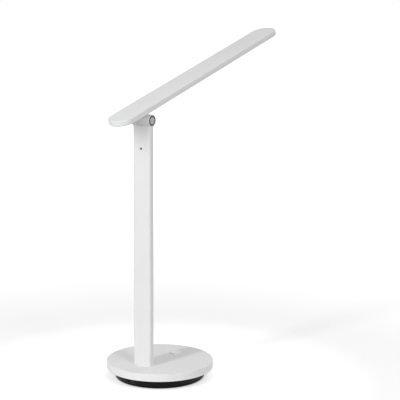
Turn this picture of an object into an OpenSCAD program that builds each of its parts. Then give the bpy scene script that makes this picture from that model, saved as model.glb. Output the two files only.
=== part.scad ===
// Folding LED desk lamp: a round weighted base with a push button, a flat upright column,
// and a slim strip-light head that folds on a friction hinge at the column's top.
// Millimetres. The origin is the centre of the resting face, +Z is up, the head reaches towards -Y.

/* [Base] */
// Radius of the white base cover
base_r = 60; // [57:0.5:66]
// Height of the cover's lower edge above the table
cover_z = 11.2; // [10.8:0.1:13]
// Height of the cover's side band
cover_h = 8.4; // [8.2:0.1:11]
// Thickness of the cover's side wall
cover_wall = 2.4; // [1.8:0.1:2.8]
// Thickness of the cover's top
cover_top = 2.4; // [2:0.1:2.6]
// Rounding of the cover's upper edge
cover_edge = 0.8; // [0.3:0.1:1.2]
// How far the black tray's foot lies inside the cover's edge
tray_foot_inset = 9.5; // [8:0.1:11]
// How far the black tray's rim lies inside the cover's edge
tray_rim_inset = 3.8; // [3.2:0.1:6]
// Rounding of the tray's foot
tray_foot_edge = 2.4; // [1:0.1:2.8]
// Thickness of the tray's side wall
tray_wall = 1.8; // [1.4:0.1:2.2]
// Thickness of the tray's floor
tray_floor = 2.2; // [1.9:0.1:2.4]
// Height of the ring with which the tray centres the cover
tray_ring_h = 3; // [2:0.5:4]
// Thickness of that ring
tray_ring_wall = 1.6; // [1.2:0.1:2]
// Distance of the rubber foot pad from the edge of the tray's flat underside
pad_margin = 0.7; // [0.4:0.1:3]
// Thickness of the rubber foot pad
pad_t = 1.2; // [1:0.1:1.6]
// Depth of the pad's seat in the tray
pad_seat = 0.7; // [0.4:0.05:0.8]
// Gap between the steel ballast plate and the tray's wall
ballast_gap = 1.2; // [0.6:0.1:3]
// Thickness of the steel ballast plate
ballast_t = 5.5; // [4.5:0.1:5.8]

/* [Base screws] */
// Distance of the base screws from the centre
screw_ring_r = 38; // [37.5:0.5:39]
// Radius of a base screw's shank
base_screw_r = 1.5; // [1.2:0.1:1.6]
// Radius of a base screw's countersunk head
base_head_r = 2.8; // [2.2:0.1:3]
// Length of a base screw
base_screw_l = 12; // [10:0.5:13]
// Wall round each base screw in the cover's posts
post_wall = 1.9; // [1.5:0.1:2.2]

/* [Battery] */
// Length of the battery pack, across the base
battery_l = 62; // [50:1:64]
// Width of the battery pack
battery_w = 30; // [24:1:32]
// Thickness of the battery pack
battery_t = 5.4; // [4.5:0.1:5.8]
// Rounding of the battery pack's corners
battery_corner = 2; // [1:0.1:2.5]
// Room between the battery pack and the column's fixing block
battery_room = 6.6; // [5.6:0.1:6.9]
// Thickness of the adhesive foam under the battery
battery_foam = 0.6; // [0.4:0.1:0.8]

/* [Control board and button] */
// Length of the control board
board_l = 38; // [34:1:40]
// Width of the control board
board_w = 25; // [23:1:26]
// Thickness of the control board
board_t = 1.5; // [1:0.1:1.6]
// Room between the ballast plate and the control board
board_lift = 1.5; // [1.3:0.1:1.6]
// Distance of the board screws from the board's edges
board_screw_inset = 3; // [2.5:0.1:3.5]
// Radius of a board screw's shank
board_screw_r = 1; // [0.8:0.1:1.1]
// Height of a board screw's head
board_head_h = 1; // [0.8:0.1:1.1]
// Distance of the button from the centre of the base
button_y = 29; // [28:0.5:30]
// Radius of the button
button_r = 6.1; // [4.5:0.1:6.4]
// Height of the button's rim above the cover
button_rise = 0.7; // [0.6:0.1:1]
// Height of the button's crown above its rim
button_crown = 0.5; // [0.3:0.1:0.8]
// Gap round the button in the cover
button_gap = 0.2; // [0.15:0.05:0.3]
// Travel of the button
button_travel = 0.5; // [0.3:0.05:0.55]
// Width of the button's retaining flange
button_flange = 1.1; // [0.8:0.1:1.4]
// Thickness of the button's retaining flange
button_flange_t = 0.9; // [0.8:0.1:1]
// Side of the square push switch
switch_w = 6; // [5:0.5:7]
// Height of the push switch's body
switch_h = 3; // [2.6:0.1:3.1]
// Radius of the push switch's plunger
plunger_r = 1.7; // [1.2:0.1:1.8]
// Height of the plunger above the switch's body
plunger_h = 0.7; // [0.6:0.05:0.75]

/* [Charging port] */
// Width of the charging socket
port_w = 8.9; // [8:0.1:9.5]
// Height of the charging socket
port_h = 3.2; // [3:0.1:3.6]
// Depth of the charging socket
port_d = 7.3; // [6.5:0.1:8]
// Thickness of the charging socket's sheet metal
port_wall = 0.3; // [0.2:0.05:0.4]
// Gap between the socket and the tray
port_gap = 0.25; // [0.15:0.05:0.4]
// How far the socket's mouth lies behind the tray's outer face
port_recess = 0.8; // [0.4:0.1:1.2]
// Thickness of the charging board
charge_board_t = 1; // [0.8:0.1:1.2]
// Width of the charging board
charge_board_w = 16; // [15:0.5:18]
// Depth of the charging board
charge_board_d = 10; // [9.5:0.5:11]
// Height of the charging board above the tray's floor
charge_board_lift = 0.6; // [0.4:0.1:1]

/* [Column] */
// Width of the column, across the lamp
column_w = 23.2; // [21.5:0.1:25]
// Depth of the column
column_d = 9; // [8.8:0.1:11]
// Rounding of the column's upright edges
column_edge = 3; // [1.5:0.1:3.6]
// Wall of the column
column_wall = 1.6; // [1.3:0.1:1.8]
// Distance of the column from the centre of the base
column_y = 29.4; // [28:0.1:30]
// Height of the hinge axis above the table
hinge_z = 292; // [270:1:320]
// Height of the fixing block inside the column
block_h = 26; // [18:1:40]
// Gap between the fixing block and the column
block_gap = 0.1; // [0.05:0.05:0.2]
// Radius of the screws that hold the column
column_screw_r = 1.5; // [1.3:0.1:1.7]
// Radius of the heads of those screws
column_head_r = 2.6; // [2.2:0.1:2.8]
// Height of the heads of those screws
column_head_h = 2.2; // [1.6:0.1:2.6]
// Depth to which those screws enter the fixing block
column_thread = 9; // [6:1:12]
// Distance of the small rear hole below the hinge axis
rear_hole_drop = 30.6; // [26:0.1:34]
// Radius of the small rear hole
rear_hole_r = 1.4; // [1.2:0.1:1.6]
// Depth at which the grub screw lies in the rear hole
grub_recess = 0.9; // [0.5:0.1:1.2]
// Height of the lead clamp inside the column
clamp_h = 10; // [8:0.5:14]

/* [Hinge] */
// Radius of the hinge barrel
barrel_r = 6.6; // [6.5:0.1:7.5]
// How far the barrel sticks out beyond each side of the column
barrel_over = 0.6; // [0:0.1:1]
// Width of the slot for the head's knuckle
slot_w = 6.6; // [5.6:0.1:7]
// Room between the knuckle and the round bottom of the slot
slot_room = 0.6; // [0.3:0.05:0.7]
// Floor under the slot
slot_floor_t = 1.5; // [1.2:0.1:2]
// Gap between the knuckle and each ear
knuckle_gap = 0.3; // [0.2:0.05:0.4]
// How much smaller the knuckle's barrel is than the hinge barrel
knuckle_step = 0.1; // [0.1:0.05:0.3]
// Width of the knuckle's neck, along the head
neck_w = 9.2; // [7:0.1:9.4]
// Radius of the friction pin and of the lead bush
pin_r = 3; // [2.8:0.1:3.2]
// Running clearance of the friction pin and the lead bush in the ears
pin_play = 0.05; // [0.02:0.01:0.09]
// Thickness of each ear's inner web
ear_web = 1.4; // [1.2:0.1:1.6]
// Radius of the chamber inside each ear
ear_bore_r = 5.2; // [5:0.1:5.4]
// Depth of the seat for each hinge cap
cap_seat = 1.9; // [1.8:0.1:2.8]
// Radius of each hinge cap
cap_r = 5.75; // [5.6:0.05:6]
// Thickness of each hinge cap
cap_t = 1.5; // [1.2:0.1:1.6]
// Radius of the grey disc on each hinge cap
disc_r = 4; // [3.4:0.1:4.6]
// Thickness of the grey disc
disc_t = 0.4; // [0.3:0.1:0.8]

/* [Head] */
// Tilt of the head above the horizontal, as it stands
head_tilt = 17; // [0:1:40]
// Length of the head
head_l = 317.5; // [240:0.5:318]
// Width of the head
head_w = 31; // [28:0.5:34]
// Thickness of the head
head_t = 7; // [6.8:0.1:9]
// Part of the head's length behind the hinge axis
head_over = 48.2; // [46:0.1:60]
// Distance from the hinge axis to the head's underside
head_drop = 10.7; // [9.6:0.05:12]
// Rounding of the head's upper edge
head_edge = 1.2; // [0.8:0.1:2.2]
// Rounding of the head's lower edge
head_low_edge = 1.3; // [0.3:0.1:1.4]
// Wall of the head's cover
head_wall = 1.2; // [1:0.1:1.4]
// Thickness of the frame that closes the head from below
frame_t = 1.3; // [1:0.1:1.4]
// How far the frame lies inside the cover's lower edge
frame_inset = 0.2; // [0.1:0.05:0.4]
// Gap round the frame
frame_gap = 0.1; // [0.05:0.05:0.2]
// Height of the frame's inner rib
rib_h = 1.2; // [0.8:0.1:1.4]
// Thickness of the frame's inner rib
rib_t = 0.9; // [0.8:0.1:1.1]

/* [Light panel] */
// Length of the diffuser's visible window
window_l = 232; // [140:1:232]
// Width of the diffuser's visible window
window_w = 18.4; // [16:0.2:19]
// Distance from the hinge axis to the window's rear end
window_start = 24; // [23:0.5:26]
// Width of the diffuser's hidden rim
rim_w = 1.3; // [1:0.1:1.6]
// Thickness of the diffuser's hidden rim
rim_t = 0.8; // [0.6:0.1:1]
// Thickness of the lamp board
led_board_t = 1; // [0.8:0.1:1.2]
// Width of the lamp board
led_board_w = 15; // [14:0.5:17]
// How much shorter the lamp board is than the window
led_board_cut = 6; // [4:1:12]
// Lamp chips in each row
led_count = 20; // [8:1:24]
// Distance between the two rows of lamp chips
led_row_gap = 8; // [7:0.5:9]
// Length of a lamp chip
led_l = 3.5; // [2.8:0.1:4]
// Width of a lamp chip
led_w = 2.8; // [2:0.1:3]
// Height of a lamp chip
led_h = 0.7; // [0.5:0.1:0.8]
// Thickness of the reflector sheet
reflector_t = 0.4; // [0.3:0.05:0.5]
// Gap round each lamp chip in the reflector sheet
reflector_gap = 0.3; // [0.2:0.05:0.4]

/* [Leads] */
// Radius of the lead in the column and in the head
lead_r = 0.9; // [0.7:0.05:1]
// Radius of the leads in the base
base_lead_r = 0.8; // [0.6:0.05:0.9]
// Distance of the leads from the battery's ends
run_side = 3.5; // [2:0.1:5]
// Distance of the leads from the battery's long sides
run_room = 2.2; // [2:0.1:2.4]

/* [Hidden] */
$fn = 96;
cut = 0.5;              // how far a cutter runs past a face
seat_gap = 0.05;        // gap at a stop, and beside a part that slides
loose = 0.3;            // gap beside parts that are only held, not fitted

// Base, heights from the table up
tray_foot_r = base_r - tray_foot_inset;
tray_rim_r = base_r - tray_rim_inset;
pad_r = tray_foot_r - tray_foot_edge - pad_margin;
ballast_r = tray_foot_r - tray_wall - ballast_gap;
tray_z = pad_t - pad_seat;
floor_z = tray_z + tray_floor;
ballast_z = floor_z + ballast_t;
battery_z = ballast_z + battery_foam;
board_z = ballast_z + board_lift;
board_top_z = board_z + board_t;
base_top_z = cover_z + cover_h;
cover_under_z = base_top_z - cover_top;
plunger_top_z = board_top_z + switch_h + plunger_h;
screw_posts = [45, 135, 225, 315];
post_r = base_screw_r + post_wall;
base_head_h = base_head_r - base_screw_r;

// Column
inner_w = column_w - 2 * column_wall;
inner_d = column_d - 2 * column_wall;
inner_edge = max(0.5, column_edge - column_wall);
lead_x = inner_w / 2 - lead_r - 2;
block_right = lead_x - lead_r - 0.7;
block_left = -inner_w / 2 + block_gap;
block_w = block_right - block_left;
block_d = inner_d - 2 * block_gap;
column_screw_x = [block_left + block_w * 0.25, block_left + block_w * 0.75];
knuckle_r = barrel_r - knuckle_step;
knuckle_w = slot_w - 2 * knuckle_gap;
slot_r = knuckle_r + slot_room;
hollow_top = slot_r + slot_floor_t;
rear_hole_z = hinge_z - rear_hole_drop;

// Control board, hung from the cover under the button
board_y = -button_y;
board_thread = 3;
board_screw_at = [for (x = [-1, 1], y = [-1, 1])
    [x * (board_l / 2 - board_screw_inset), board_y + y * (board_w / 2 - board_screw_inset)]];
connector_size = [4.5, 3.5, 2.6];
connector_at = [
    [13, board_y + board_w / 2 - 8, board_top_z],
    [-13, board_y + board_w / 2 - 8, board_top_z],
    [0, board_y + board_w / 2 - 4.5, board_top_z]
];
plug_z = board_top_z + connector_size[2] / 2;

// Battery, and the leads round it
battery_back = column_y - block_d / 2 - battery_room;
battery_front = battery_back - battery_w;
battery_y = (battery_back + battery_front) / 2;
run_z = battery_z + battery_t / 2;
run_x = battery_l / 2 + run_side;
run_back = battery_back + run_room;
run_front = battery_front - run_room;
battery_lead_x = board_l / 5;

// Charging port
charge_thread = charge_board_lift + tray_floor - 0.8;
charge_z = floor_z + charge_board_lift;
port_z = charge_z + charge_board_t;
port_mid_z = port_z + port_h / 2;
tray_slope = (tray_rim_r - tray_foot_r) / (cover_z - tray_z - tray_foot_edge);
port_face_y = tray_foot_r + tray_slope * (port_mid_z - tray_z - tray_foot_edge);
port_mouth_y = port_face_y - port_recess;
charge_front_y = sqrt(pow(tray_foot_r - tray_wall - loose, 2) - pow(charge_board_w / 2, 2));
charge_back_y = charge_front_y - charge_board_d;
charge_screw_x = charge_board_w / 2 - 2.2;
charge_screw_y = charge_back_y + 2.6;

// Hinge, measured along the axis from the middle of the slot
web_x = slot_w / 2 + ear_web;
barrel_end = column_w / 2 + barrel_over;
cap_in_x = barrel_end - cap_seat;
disc_in_x = cap_in_x + cap_t;
pin_in_x = 0.9;
bush_in_x = pin_in_x;
lead_turn = 2.4;
spring_t = 0.4;
spring_h = 0.9;
washer_t = 0.5;
spring_x = web_x + seat_gap;
washer_x = spring_x + 2 * spring_h;
nut_x = washer_x + washer_t;
pin_end_x = cap_in_x - 0.2;
nut_t = pin_end_x - nut_x - 0.05;
thread_r = pin_r - 0.5;
nut_flats = 2 * ear_bore_r * cos(30) - 0.9;

// Head, in its own frame: hinge axis at the origin, the underside at z = head_drop
head_mid_y = head_over - head_l / 2;
ceiling_z = head_t - head_wall;
frame_top = frame_inset + frame_t;
plate_z = 3;
plate_t = 1.6;
plate_front = -20;
plate_back = 24;
plate_w = head_w - 2 * head_wall - 2 * rib_t - 2.4;
knuckle_screw_at = [for (x = [-1, 1], y = [plate_front + 4, plate_back - 4]) [x * (plate_w / 2 - 3.4), y]];
window_y = -window_start - window_l / 2;
led_board_l = window_l - led_board_cut;
led_pitch = (led_board_l - 16) / (led_count - 1);
led_board_z = ceiling_z - led_board_t - 0.05;
led_z = led_board_z - led_h;
reflector_z = led_board_z - reflector_t - 0.05;
led_screw_y = [for (k = [-1, 0, 1]) window_y + k * led_pitch * 2 * round((led_count - 4) / 4)];
connector_y = window_y + led_board_l / 2 - 3.4;

// ---- Shapes that repeat ----

// A bar with rounded corners along Z, from z = 0
module rounded_bar(w, d, h, r) {
    linear_extrude(h) union() {
        square([w - 2 * r, d], center = true);
        square([w, d - 2 * r], center = true);
        for (x = [-1, 1], y = [-1, 1])
            translate([x * (w / 2 - r), y * (d / 2 - r)]) circle(r);
    }
}

// A flat plate with half-round ends, long along Y, from z = 0
module round_ended_plate(l, w, h) {
    linear_extrude(h) union() {
        square([w, l - w], center = true);
        for (y = [-1, 1]) translate([0, y * (l - w) / 2]) circle(w / 2);
    }
}

// Cross-section of the head: upper corners of radius r_top, lower corners of radius r_low
module strip_section(w, t, r_top, r_low) {
    translate([-w / 2, r_low]) square([w, t - r_top - r_low]);
    translate([-w / 2 + r_low, 0]) square([w - 2 * r_low, t - r_top]);
    translate([-w / 2 + r_top, r_low]) square([w - 2 * r_top, t - r_low]);
    for (x = [-1, 1]) {
        translate([x * (w / 2 - r_top), t - r_top]) circle(r_top);
        translate([x * (w / 2 - r_low), r_low]) circle(r_low);
    }
}

// The same cross-section carried along a strip with half-round ends
module round_ended_strip(l, w, t, r_top, r_low) {
    rotate([90, 0, 0]) linear_extrude(l - w, center = true) strip_section(w, t, r_top, r_low);
    for (s = [0, 180])
        rotate([0, 0, s]) translate([0, (l - w) / 2, 0])
            rotate_extrude(angle = 180) intersection() {
                strip_section(w, t, r_top, r_low);
                square([w, t]);
            }
}

// A cylinder along +X from x = from to x = to
module rod_x(r, from, to) {
    translate([from, 0, 0]) rotate([0, 90, 0]) cylinder(r = r, h = to - from);
}

// A countersunk screw with its head's face at z = 0, pointing up
module countersunk_screw(r, head_r, length) {
    cylinder(r1 = head_r, r2 = r, h = head_r - r);
    cylinder(r = r, h = length);
}

// A pan-head screw with its head below z = 0, pointing up
module pan_screw(r, head_r, head_h, length) {
    translate([0, 0, -head_h]) cylinder(r = head_r, h = head_h);
    cylinder(r = r, h = length);
}

// A round lead swept along a route. Each inner corner is eased over a distance, then a ring of
// points stands square to the route at each of its points.
function unit(v) = v / norm(v);
function eased_corner(a, b, c, d, n) =
    let (s = b + d * unit(a - b), e = b + d * unit(c - b))
    [for (k = [0:n]) let (t = k / n) (1 - t) * (1 - t) * s + 2 * t * (1 - t) * b + t * t * e];
function eased_route(p, d, n = 4) = concat(
    [p[0]],
    [for (i = [1:len(p) - 2]) each eased_corner(p[i - 1], p[i], p[i + 1], d, n)],
    [p[len(p) - 1]]);
function heading(p, i) =
    i == 0 ? unit(p[1] - p[0]) :
    i == len(p) - 1 ? unit(p[i] - p[i - 1]) :
    unit(unit(p[i + 1] - p[i]) + unit(p[i] - p[i - 1]));
function carried(n, t) = unit(n - (n * t) * t);
function side_vectors(p, i = 0, last = [0.31, 0.55, 0.77]) =
    i == len(p) ? [] :
    let (n = carried(last, heading(p, i))) concat([n], side_vectors(p, i + 1, n));
module lead(route, r, ease, sides = 10) {
    p = eased_route(route, ease);
    n = side_vectors(p);
    rings = len(p);
    points = [for (i = [0:rings - 1]) let (t = heading(p, i), b = cross(t, n[i]))
        for (k = [0:sides - 1]) p[i] + r * (cos(360 * k / sides) * n[i] + sin(360 * k / sides) * b)];
    walls = [for (i = [0:rings - 2], k = [0:sides - 1]) let (m = (k + 1) % sides)
        [i * sides + k, (i + 1) * sides + k, (i + 1) * sides + m, i * sides + m]];
    first = [for (k = [0:sides - 1]) k];
    last = [for (k = [sides - 1:-1:0]) (rings - 1) * sides + k];
    polyhedron(points, concat(walls, [first], [last]), convexity = 4);
}

// Places its children in the frame of the head, as it stands
module on_head() {
    translate([0, column_y, hinge_z]) rotate([-head_tilt, 0, 0]) children();
}

// Places its children on the hinge axis
module on_hinge() {
    translate([0, column_y, hinge_z]) children();
}

// Places its children on the head's underside
module in_head() {
    on_head() translate([0, 0, head_drop]) children();
}

// ---- Base ----

module base_cover() {
    color("white") difference() {
        union() {
            difference() {
                rotate_extrude() union() {
                    translate([0, cover_z]) square([base_r, cover_h - cover_edge]);
                    translate([0, cover_z]) square([base_r - cover_edge, cover_h]);
                    translate([base_r - cover_edge, base_top_z - cover_edge]) circle(cover_edge);
                }
                translate([0, 0, cover_z - cut])
                    cylinder(r = base_r - cover_wall, h = cover_h - cover_top + cut);
            }
            // Posts for the base screws, which press the ballast plate onto the tray
            for (a = screw_posts) rotate([0, 0, a]) translate([screw_ring_r, 0, ballast_z])
                cylinder(r = post_r, h = cover_under_z - ballast_z + cut);
            // Posts for the control board
            for (p = board_screw_at) translate([p[0], p[1], board_top_z])
                cylinder(r = board_screw_r + 1.2, h = cover_under_z - board_top_z + cut);
        }
        for (a = screw_posts) rotate([0, 0, a]) translate([screw_ring_r, 0, ballast_z - cut])
            cylinder(r = base_screw_r, h = base_screw_l + tray_z + pad_seat - ballast_z + cut);
        for (p = board_screw_at) translate([p[0], p[1], board_top_z - cut])
            cylinder(r = board_screw_r, h = board_thread + cut);
        translate([0, -button_y, cover_under_z - cut])
            cylinder(r = button_r + button_gap, h = cover_top + 2 * cut);
        translate([0, column_y, cover_under_z - cut])
            rounded_bar(inner_w, inner_d, cover_top + 2 * cut, inner_edge);
    }
}

module base_tray() {
    ring_r = base_r - cover_wall - loose;
    color("black") difference() {
        union() {
            rotate_extrude() difference() {
                union() {
                    polygon([
                        [0, tray_z],
                        [tray_foot_r - tray_foot_edge, tray_z],
                        [tray_foot_r, tray_z + tray_foot_edge],
                        [tray_rim_r, cover_z],
                        [ring_r, cover_z],
                        [ring_r, cover_z + tray_ring_h],
                        [0, cover_z + tray_ring_h]
                    ]);
                    translate([tray_foot_r - tray_foot_edge, tray_z + tray_foot_edge]) circle(tray_foot_edge);
                }
                polygon([
                    [0, floor_z],
                    [tray_foot_r - tray_wall, floor_z],
                    [tray_rim_r - tray_wall, cover_z],
                    [ring_r - tray_ring_wall, cover_z + tray_ring_wall],
                    [ring_r - tray_ring_wall, cover_z + tray_ring_h + cut],
                    [0, cover_z + tray_ring_h + cut]
                ]);
                square([pad_r + seat_gap, tray_z + pad_seat]);
            }
            // Posts under the charging board
            for (x = [-1, 1]) translate([x * charge_screw_x, charge_screw_y, floor_z - cut])
                cylinder(r = 2, h = charge_board_lift + cut);
            for (x = [-1, 1]) translate([x * charge_screw_x, charge_front_y - 2.2, floor_z - cut])
                cylinder(r = 1.2, h = charge_board_lift + cut);
        }
        for (a = screw_posts) rotate([0, 0, a]) translate([screw_ring_r, 0, tray_z + pad_seat])
            countersunk_screw(base_screw_r + 0.2, base_head_r + 0.2, tray_floor + cut);
        for (x = [-1, 1]) translate([x * charge_screw_x, charge_screw_y, charge_z - charge_thread])
            cylinder(r = board_screw_r, h = charge_thread + cut);
        // Way in to the charging socket
        translate([0, charge_front_y, port_mid_z]) rotate([-90, 0, 0])
            rounded_bar(port_w + 2 * port_gap, port_h + 2 * port_gap, tray_rim_r - charge_front_y, port_h / 2);
    }
}

module foot_pad() {
    color("dimgray") cylinder(r = pad_r, h = pad_t);
}

module ballast_plate() {
    color("gray") difference() {
        translate([0, 0, floor_z]) cylinder(r = ballast_r, h = ballast_t);
        // Room for the charging board and its socket
        translate([-charge_board_w / 2 - 1.5, charge_back_y - 1.5, floor_z - cut])
            cube([charge_board_w + 3, ballast_r, ballast_t + 2 * cut]);
        for (a = screw_posts) rotate([0, 0, a]) translate([screw_ring_r, 0, floor_z - cut])
            cylinder(r = base_screw_r + 0.4, h = ballast_t + 2 * cut);
        for (x = column_screw_x) translate([x, column_y, floor_z - cut]) {
            cylinder(r = column_screw_r + 0.3, h = ballast_t + 2 * cut);
            cylinder(r = column_head_r + 0.3, h = column_head_h + cut);
        }
    }
}

module base_screws() {
    color("silver")
        for (a = screw_posts) rotate([0, 0, a]) translate([screw_ring_r, 0, tray_z + pad_seat])
            countersunk_screw(base_screw_r, base_head_r, base_screw_l);
}

// ---- Battery and boards ----

module battery_foam_pad() {
    color("lightgray") translate([0, battery_y, ballast_z])
        rounded_bar(battery_l - 4, battery_w - 4, battery_foam, battery_corner);
}

module battery_pack() {
    color("skyblue") translate([0, battery_y, battery_z])
        rounded_bar(battery_l, battery_w, battery_t, battery_corner);
}

module control_board() {
    color("green") difference() {
        translate([0, board_y, board_z]) rounded_bar(board_l, board_w, board_t, 1);
        for (p = board_screw_at) translate([p[0], p[1], board_z - cut])
            cylinder(r = board_screw_r, h = board_t + 2 * cut);
    }
}

module board_parts() {
    color("black") translate([0, board_y, board_top_z]) {
        translate([6, -9, 0]) cube([5, 5, 1]);
        translate([-11, -10, 0]) cube([4, 4, 1.8]);
        translate([-11, -2, 0]) cylinder(r = 2.2, h = 3);
        translate([5, 2, 0]) cube([3, 2, 0.8]);
    }
}

module board_screws() {
    color("silver") for (p = board_screw_at) translate([p[0], p[1], board_z])
        pan_screw(board_screw_r, board_screw_r + 0.9, board_head_h, board_t + board_thread);
}

module tact_switch() {
    color("dimgray") difference() {
        translate([-switch_w / 2, -button_y - switch_w / 2, board_top_z]) cube([switch_w, switch_w, switch_h]);
        translate([0, -button_y, board_top_z + switch_h - button_travel - 0.3])
            cylinder(r = plunger_r + seat_gap, h = button_travel + 0.3 + cut);
    }
}

// Plug-in sockets on the control board, one for each lead
module board_connectors() {
    color("ivory") for (p = connector_at)
        translate([p[0] - connector_size[0] / 2, p[1] - connector_size[1] / 2, p[2]]) cube(connector_size);
}

module charge_board() {
    color("green") difference() {
        translate([-charge_board_w / 2, charge_back_y, charge_z])
            cube([charge_board_w, charge_board_d, charge_board_t]);
        for (x = [-1, 1]) translate([x * charge_screw_x, charge_screw_y, charge_z - cut])
            cylinder(r = board_screw_r, h = charge_board_t + 2 * cut);
    }
}

module charge_socket() {
    color("silver") translate([0, port_mouth_y, port_mid_z]) rotate([90, 0, 0]) {
        difference() {
            rounded_bar(port_w, port_h, port_d, port_h / 2 - 0.01);
            translate([0, 0, -cut])
                rounded_bar(port_w - 2 * port_wall, port_h - 2 * port_wall, port_d - 1 + cut,
                    port_h / 2 - port_wall - 0.01);
        }
        // Contact tongue
        translate([-port_w / 2 + 1.2, -0.35, 1]) cube([port_w - 2.4, 0.7, port_d - 1.5]);
    }
}

module charge_screws() {
    color("silver") for (x = [-1, 1])
        translate([x * charge_screw_x, charge_screw_y, charge_z + charge_board_t]) mirror([0, 0, 1])
            pan_screw(board_screw_r, board_screw_r + 0.9, board_head_h, charge_board_t + charge_thread - 0.3);
}

// Leads from the battery and from the charging board to the control board
module base_leads() {
    start = [2.5 - charge_board_w / 2, charge_front_y - base_lead_r - charge_board_d / 3];
    side_x = connector_size[0] / 2;
    block_side = block_left - 3 * run_room;
    color("crimson") {
        lead([
            [start[0], start[1], port_z],
            [start[0], start[1], run_z],
            [block_side, start[1] - run_side, run_z],
            [block_side, run_back, run_z],
            [-run_x, run_back, run_z],
            [-run_x, run_front, run_z],
            [-board_l / 2 - run_room, connector_at[1][1], plug_z],
            [connector_at[1][0] - side_x, connector_at[1][1], plug_z]
        ], base_lead_r, 2);
        lead([
            [battery_lead_x, battery_front, run_z],
            [battery_lead_x, battery_front - 0.8 * run_room, run_z],
            [battery_lead_x, battery_front - 2 * run_room, plug_z],
            [battery_lead_x, connector_at[2][1], plug_z],
            [side_x, connector_at[2][1], plug_z]
        ], base_lead_r, 0.35 * run_room);
    }
}

// ---- Button ----

module button_cap() {
    rim_z = base_top_z + button_rise;
    crown_r = (button_r * button_r + button_crown * button_crown) / (2 * button_crown);
    color("white") {
        translate([0, -button_y, cover_under_z - seat_gap - button_flange_t])
            cylinder(r = button_r + button_flange, h = button_flange_t);
        translate([0, -button_y, cover_under_z - seat_gap - cut])
            cylinder(r = button_r, h = rim_z - cover_under_z + seat_gap + cut);
        translate([0, -button_y, rim_z - 0.01]) intersection() {
            cylinder(r = button_r, h = button_crown + 0.02);
            translate([0, 0, button_crown - crown_r]) sphere(r = crown_r, $fn = 200);
        }
        translate([0, -button_y, plunger_top_z])
            cylinder(r = plunger_r, h = cover_under_z - seat_gap - cut - plunger_top_z);
    }
}

module switch_plunger() {
    color("black") translate([0, -button_y, board_top_z + switch_h - 0.2])
        cylinder(r = plunger_r, h = plunger_h + 0.2);
}

// ---- Column ----

module column_shell() {
    color("white") difference() {
        union() {
            translate([0, column_y, base_top_z])
                rounded_bar(column_w, column_d, hinge_z - base_top_z, column_edge);
            on_hinge() rod_x(barrel_r, -barrel_end, barrel_end);
        }
        // Hollow for the lead
        translate([0, column_y, base_top_z - cut])
            rounded_bar(inner_w, inner_d, hinge_z - hollow_top - base_top_z + cut, inner_edge);
        on_hinge() {
            // Slot for the knuckle, with a round bottom in which it turns
            rod_x(slot_r, -slot_w / 2, slot_w / 2);
            translate([-slot_w / 2, -2 * barrel_r, 0]) cube([slot_w, 4 * barrel_r, 2 * barrel_r]);
            // Running holes, chambers and cap seats in the ears
            rod_x(pin_r + pin_play, -web_x - cut, web_x + cut);
            for (s = [0, 180]) rotate([0, 0, s]) {
                rod_x(ear_bore_r, web_x, cap_in_x + cut);
                rod_x(cap_r, cap_in_x, barrel_end + cut);
            }
            // Way up for the lead
            translate([lead_x, 0, -hollow_top - cut]) cylinder(r = lead_r + 0.5, h = hollow_top + cut);
        }
        // Small hole for the grub screw
        translate([0, column_y, rear_hole_z]) rotate([-90, 0, 0])
            cylinder(r = rear_hole_r, h = column_d);
    }
}

module column_block() {
    color("silver") difference() {
        translate([(block_left + block_right) / 2, column_y, ballast_z])
            rounded_bar(block_w, block_d, base_top_z - ballast_z + block_h, inner_edge - block_gap);
        for (x = column_screw_x) translate([x, column_y, ballast_z - cut])
            cylinder(r = column_screw_r, h = column_thread + 1 + cut);
    }
}

module column_screws() {
    color("silver") for (x = column_screw_x) translate([x, column_y, floor_z + column_head_h])
        pan_screw(column_screw_r, column_head_r, column_head_h, ballast_t - column_head_h + column_thread);
}

// The lead comes up the column, turns onto the hinge axis and ends inside the hollow bush
module column_lead() {
    color("dimgray") lead([
        [connector_at[0][0] + connector_size[0] / 2, connector_at[0][1], plug_z],
        [board_l / 2 + run_room, connector_at[0][1], plug_z],
        [run_x, run_front, run_z],
        [run_x, run_back, run_z],
        [lead_x + 3 * run_side, run_back, run_z],
        [lead_x, column_y, run_z],
        [lead_x, column_y, hinge_z],
        [bush_in_x + 1.5, column_y, hinge_z]
    ], lead_r, lead_turn);
}

module lead_clamp() {
    color("dimgray") difference() {
        translate([(-inner_w / 2 + block_gap + lead_x + lead_r) / 2, column_y, rear_hole_z - clamp_h / 2])
            rounded_bar(inner_w / 2 - block_gap + lead_x + lead_r, block_d, clamp_h, inner_edge - block_gap);
        translate([0, column_y, rear_hole_z]) rotate([-90, 0, 0])
            cylinder(r = rear_hole_r - 0.15, h = column_d);
        translate([lead_x, column_y - 2 * lead_r, rear_hole_z - clamp_h])
            cube([4 * lead_r, 4 * lead_r, 2 * clamp_h]);
        translate([lead_x, column_y, rear_hole_z - clamp_h])
            cylinder(r = lead_r + 0.05, h = 2 * clamp_h);
    }
}

module grub_screw() {
    color("black") translate([0, column_y, rear_hole_z]) rotate([-90, 0, 0]) difference() {
        cylinder(r = rear_hole_r - 0.15, h = column_d / 2 - grub_recess);
        translate([0, 0, column_d / 2 - grub_recess - 1]) cylinder(r = 0.65, h = 1 + cut, $fn = 6);
    }
}

// ---- Hinge ----

module hinge_cap() {
    color("black") difference() {
        rod_x(cap_r - seat_gap, cap_in_x, disc_in_x);
        rod_x(1.2, cap_in_x - cut, cap_in_x + cap_t / 2);
    }
}

module cap_disc() {
    color("silver") rod_x(disc_r, disc_in_x, disc_in_x + disc_t);
}

module hinge_cap_left() { on_hinge() rotate([0, 0, 180]) hinge_cap(); }
module hinge_cap_right() { on_hinge() hinge_cap(); }
module cap_disc_left() { on_hinge() rotate([0, 0, 180]) cap_disc(); }
module cap_disc_right() { on_hinge() cap_disc(); }

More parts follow.
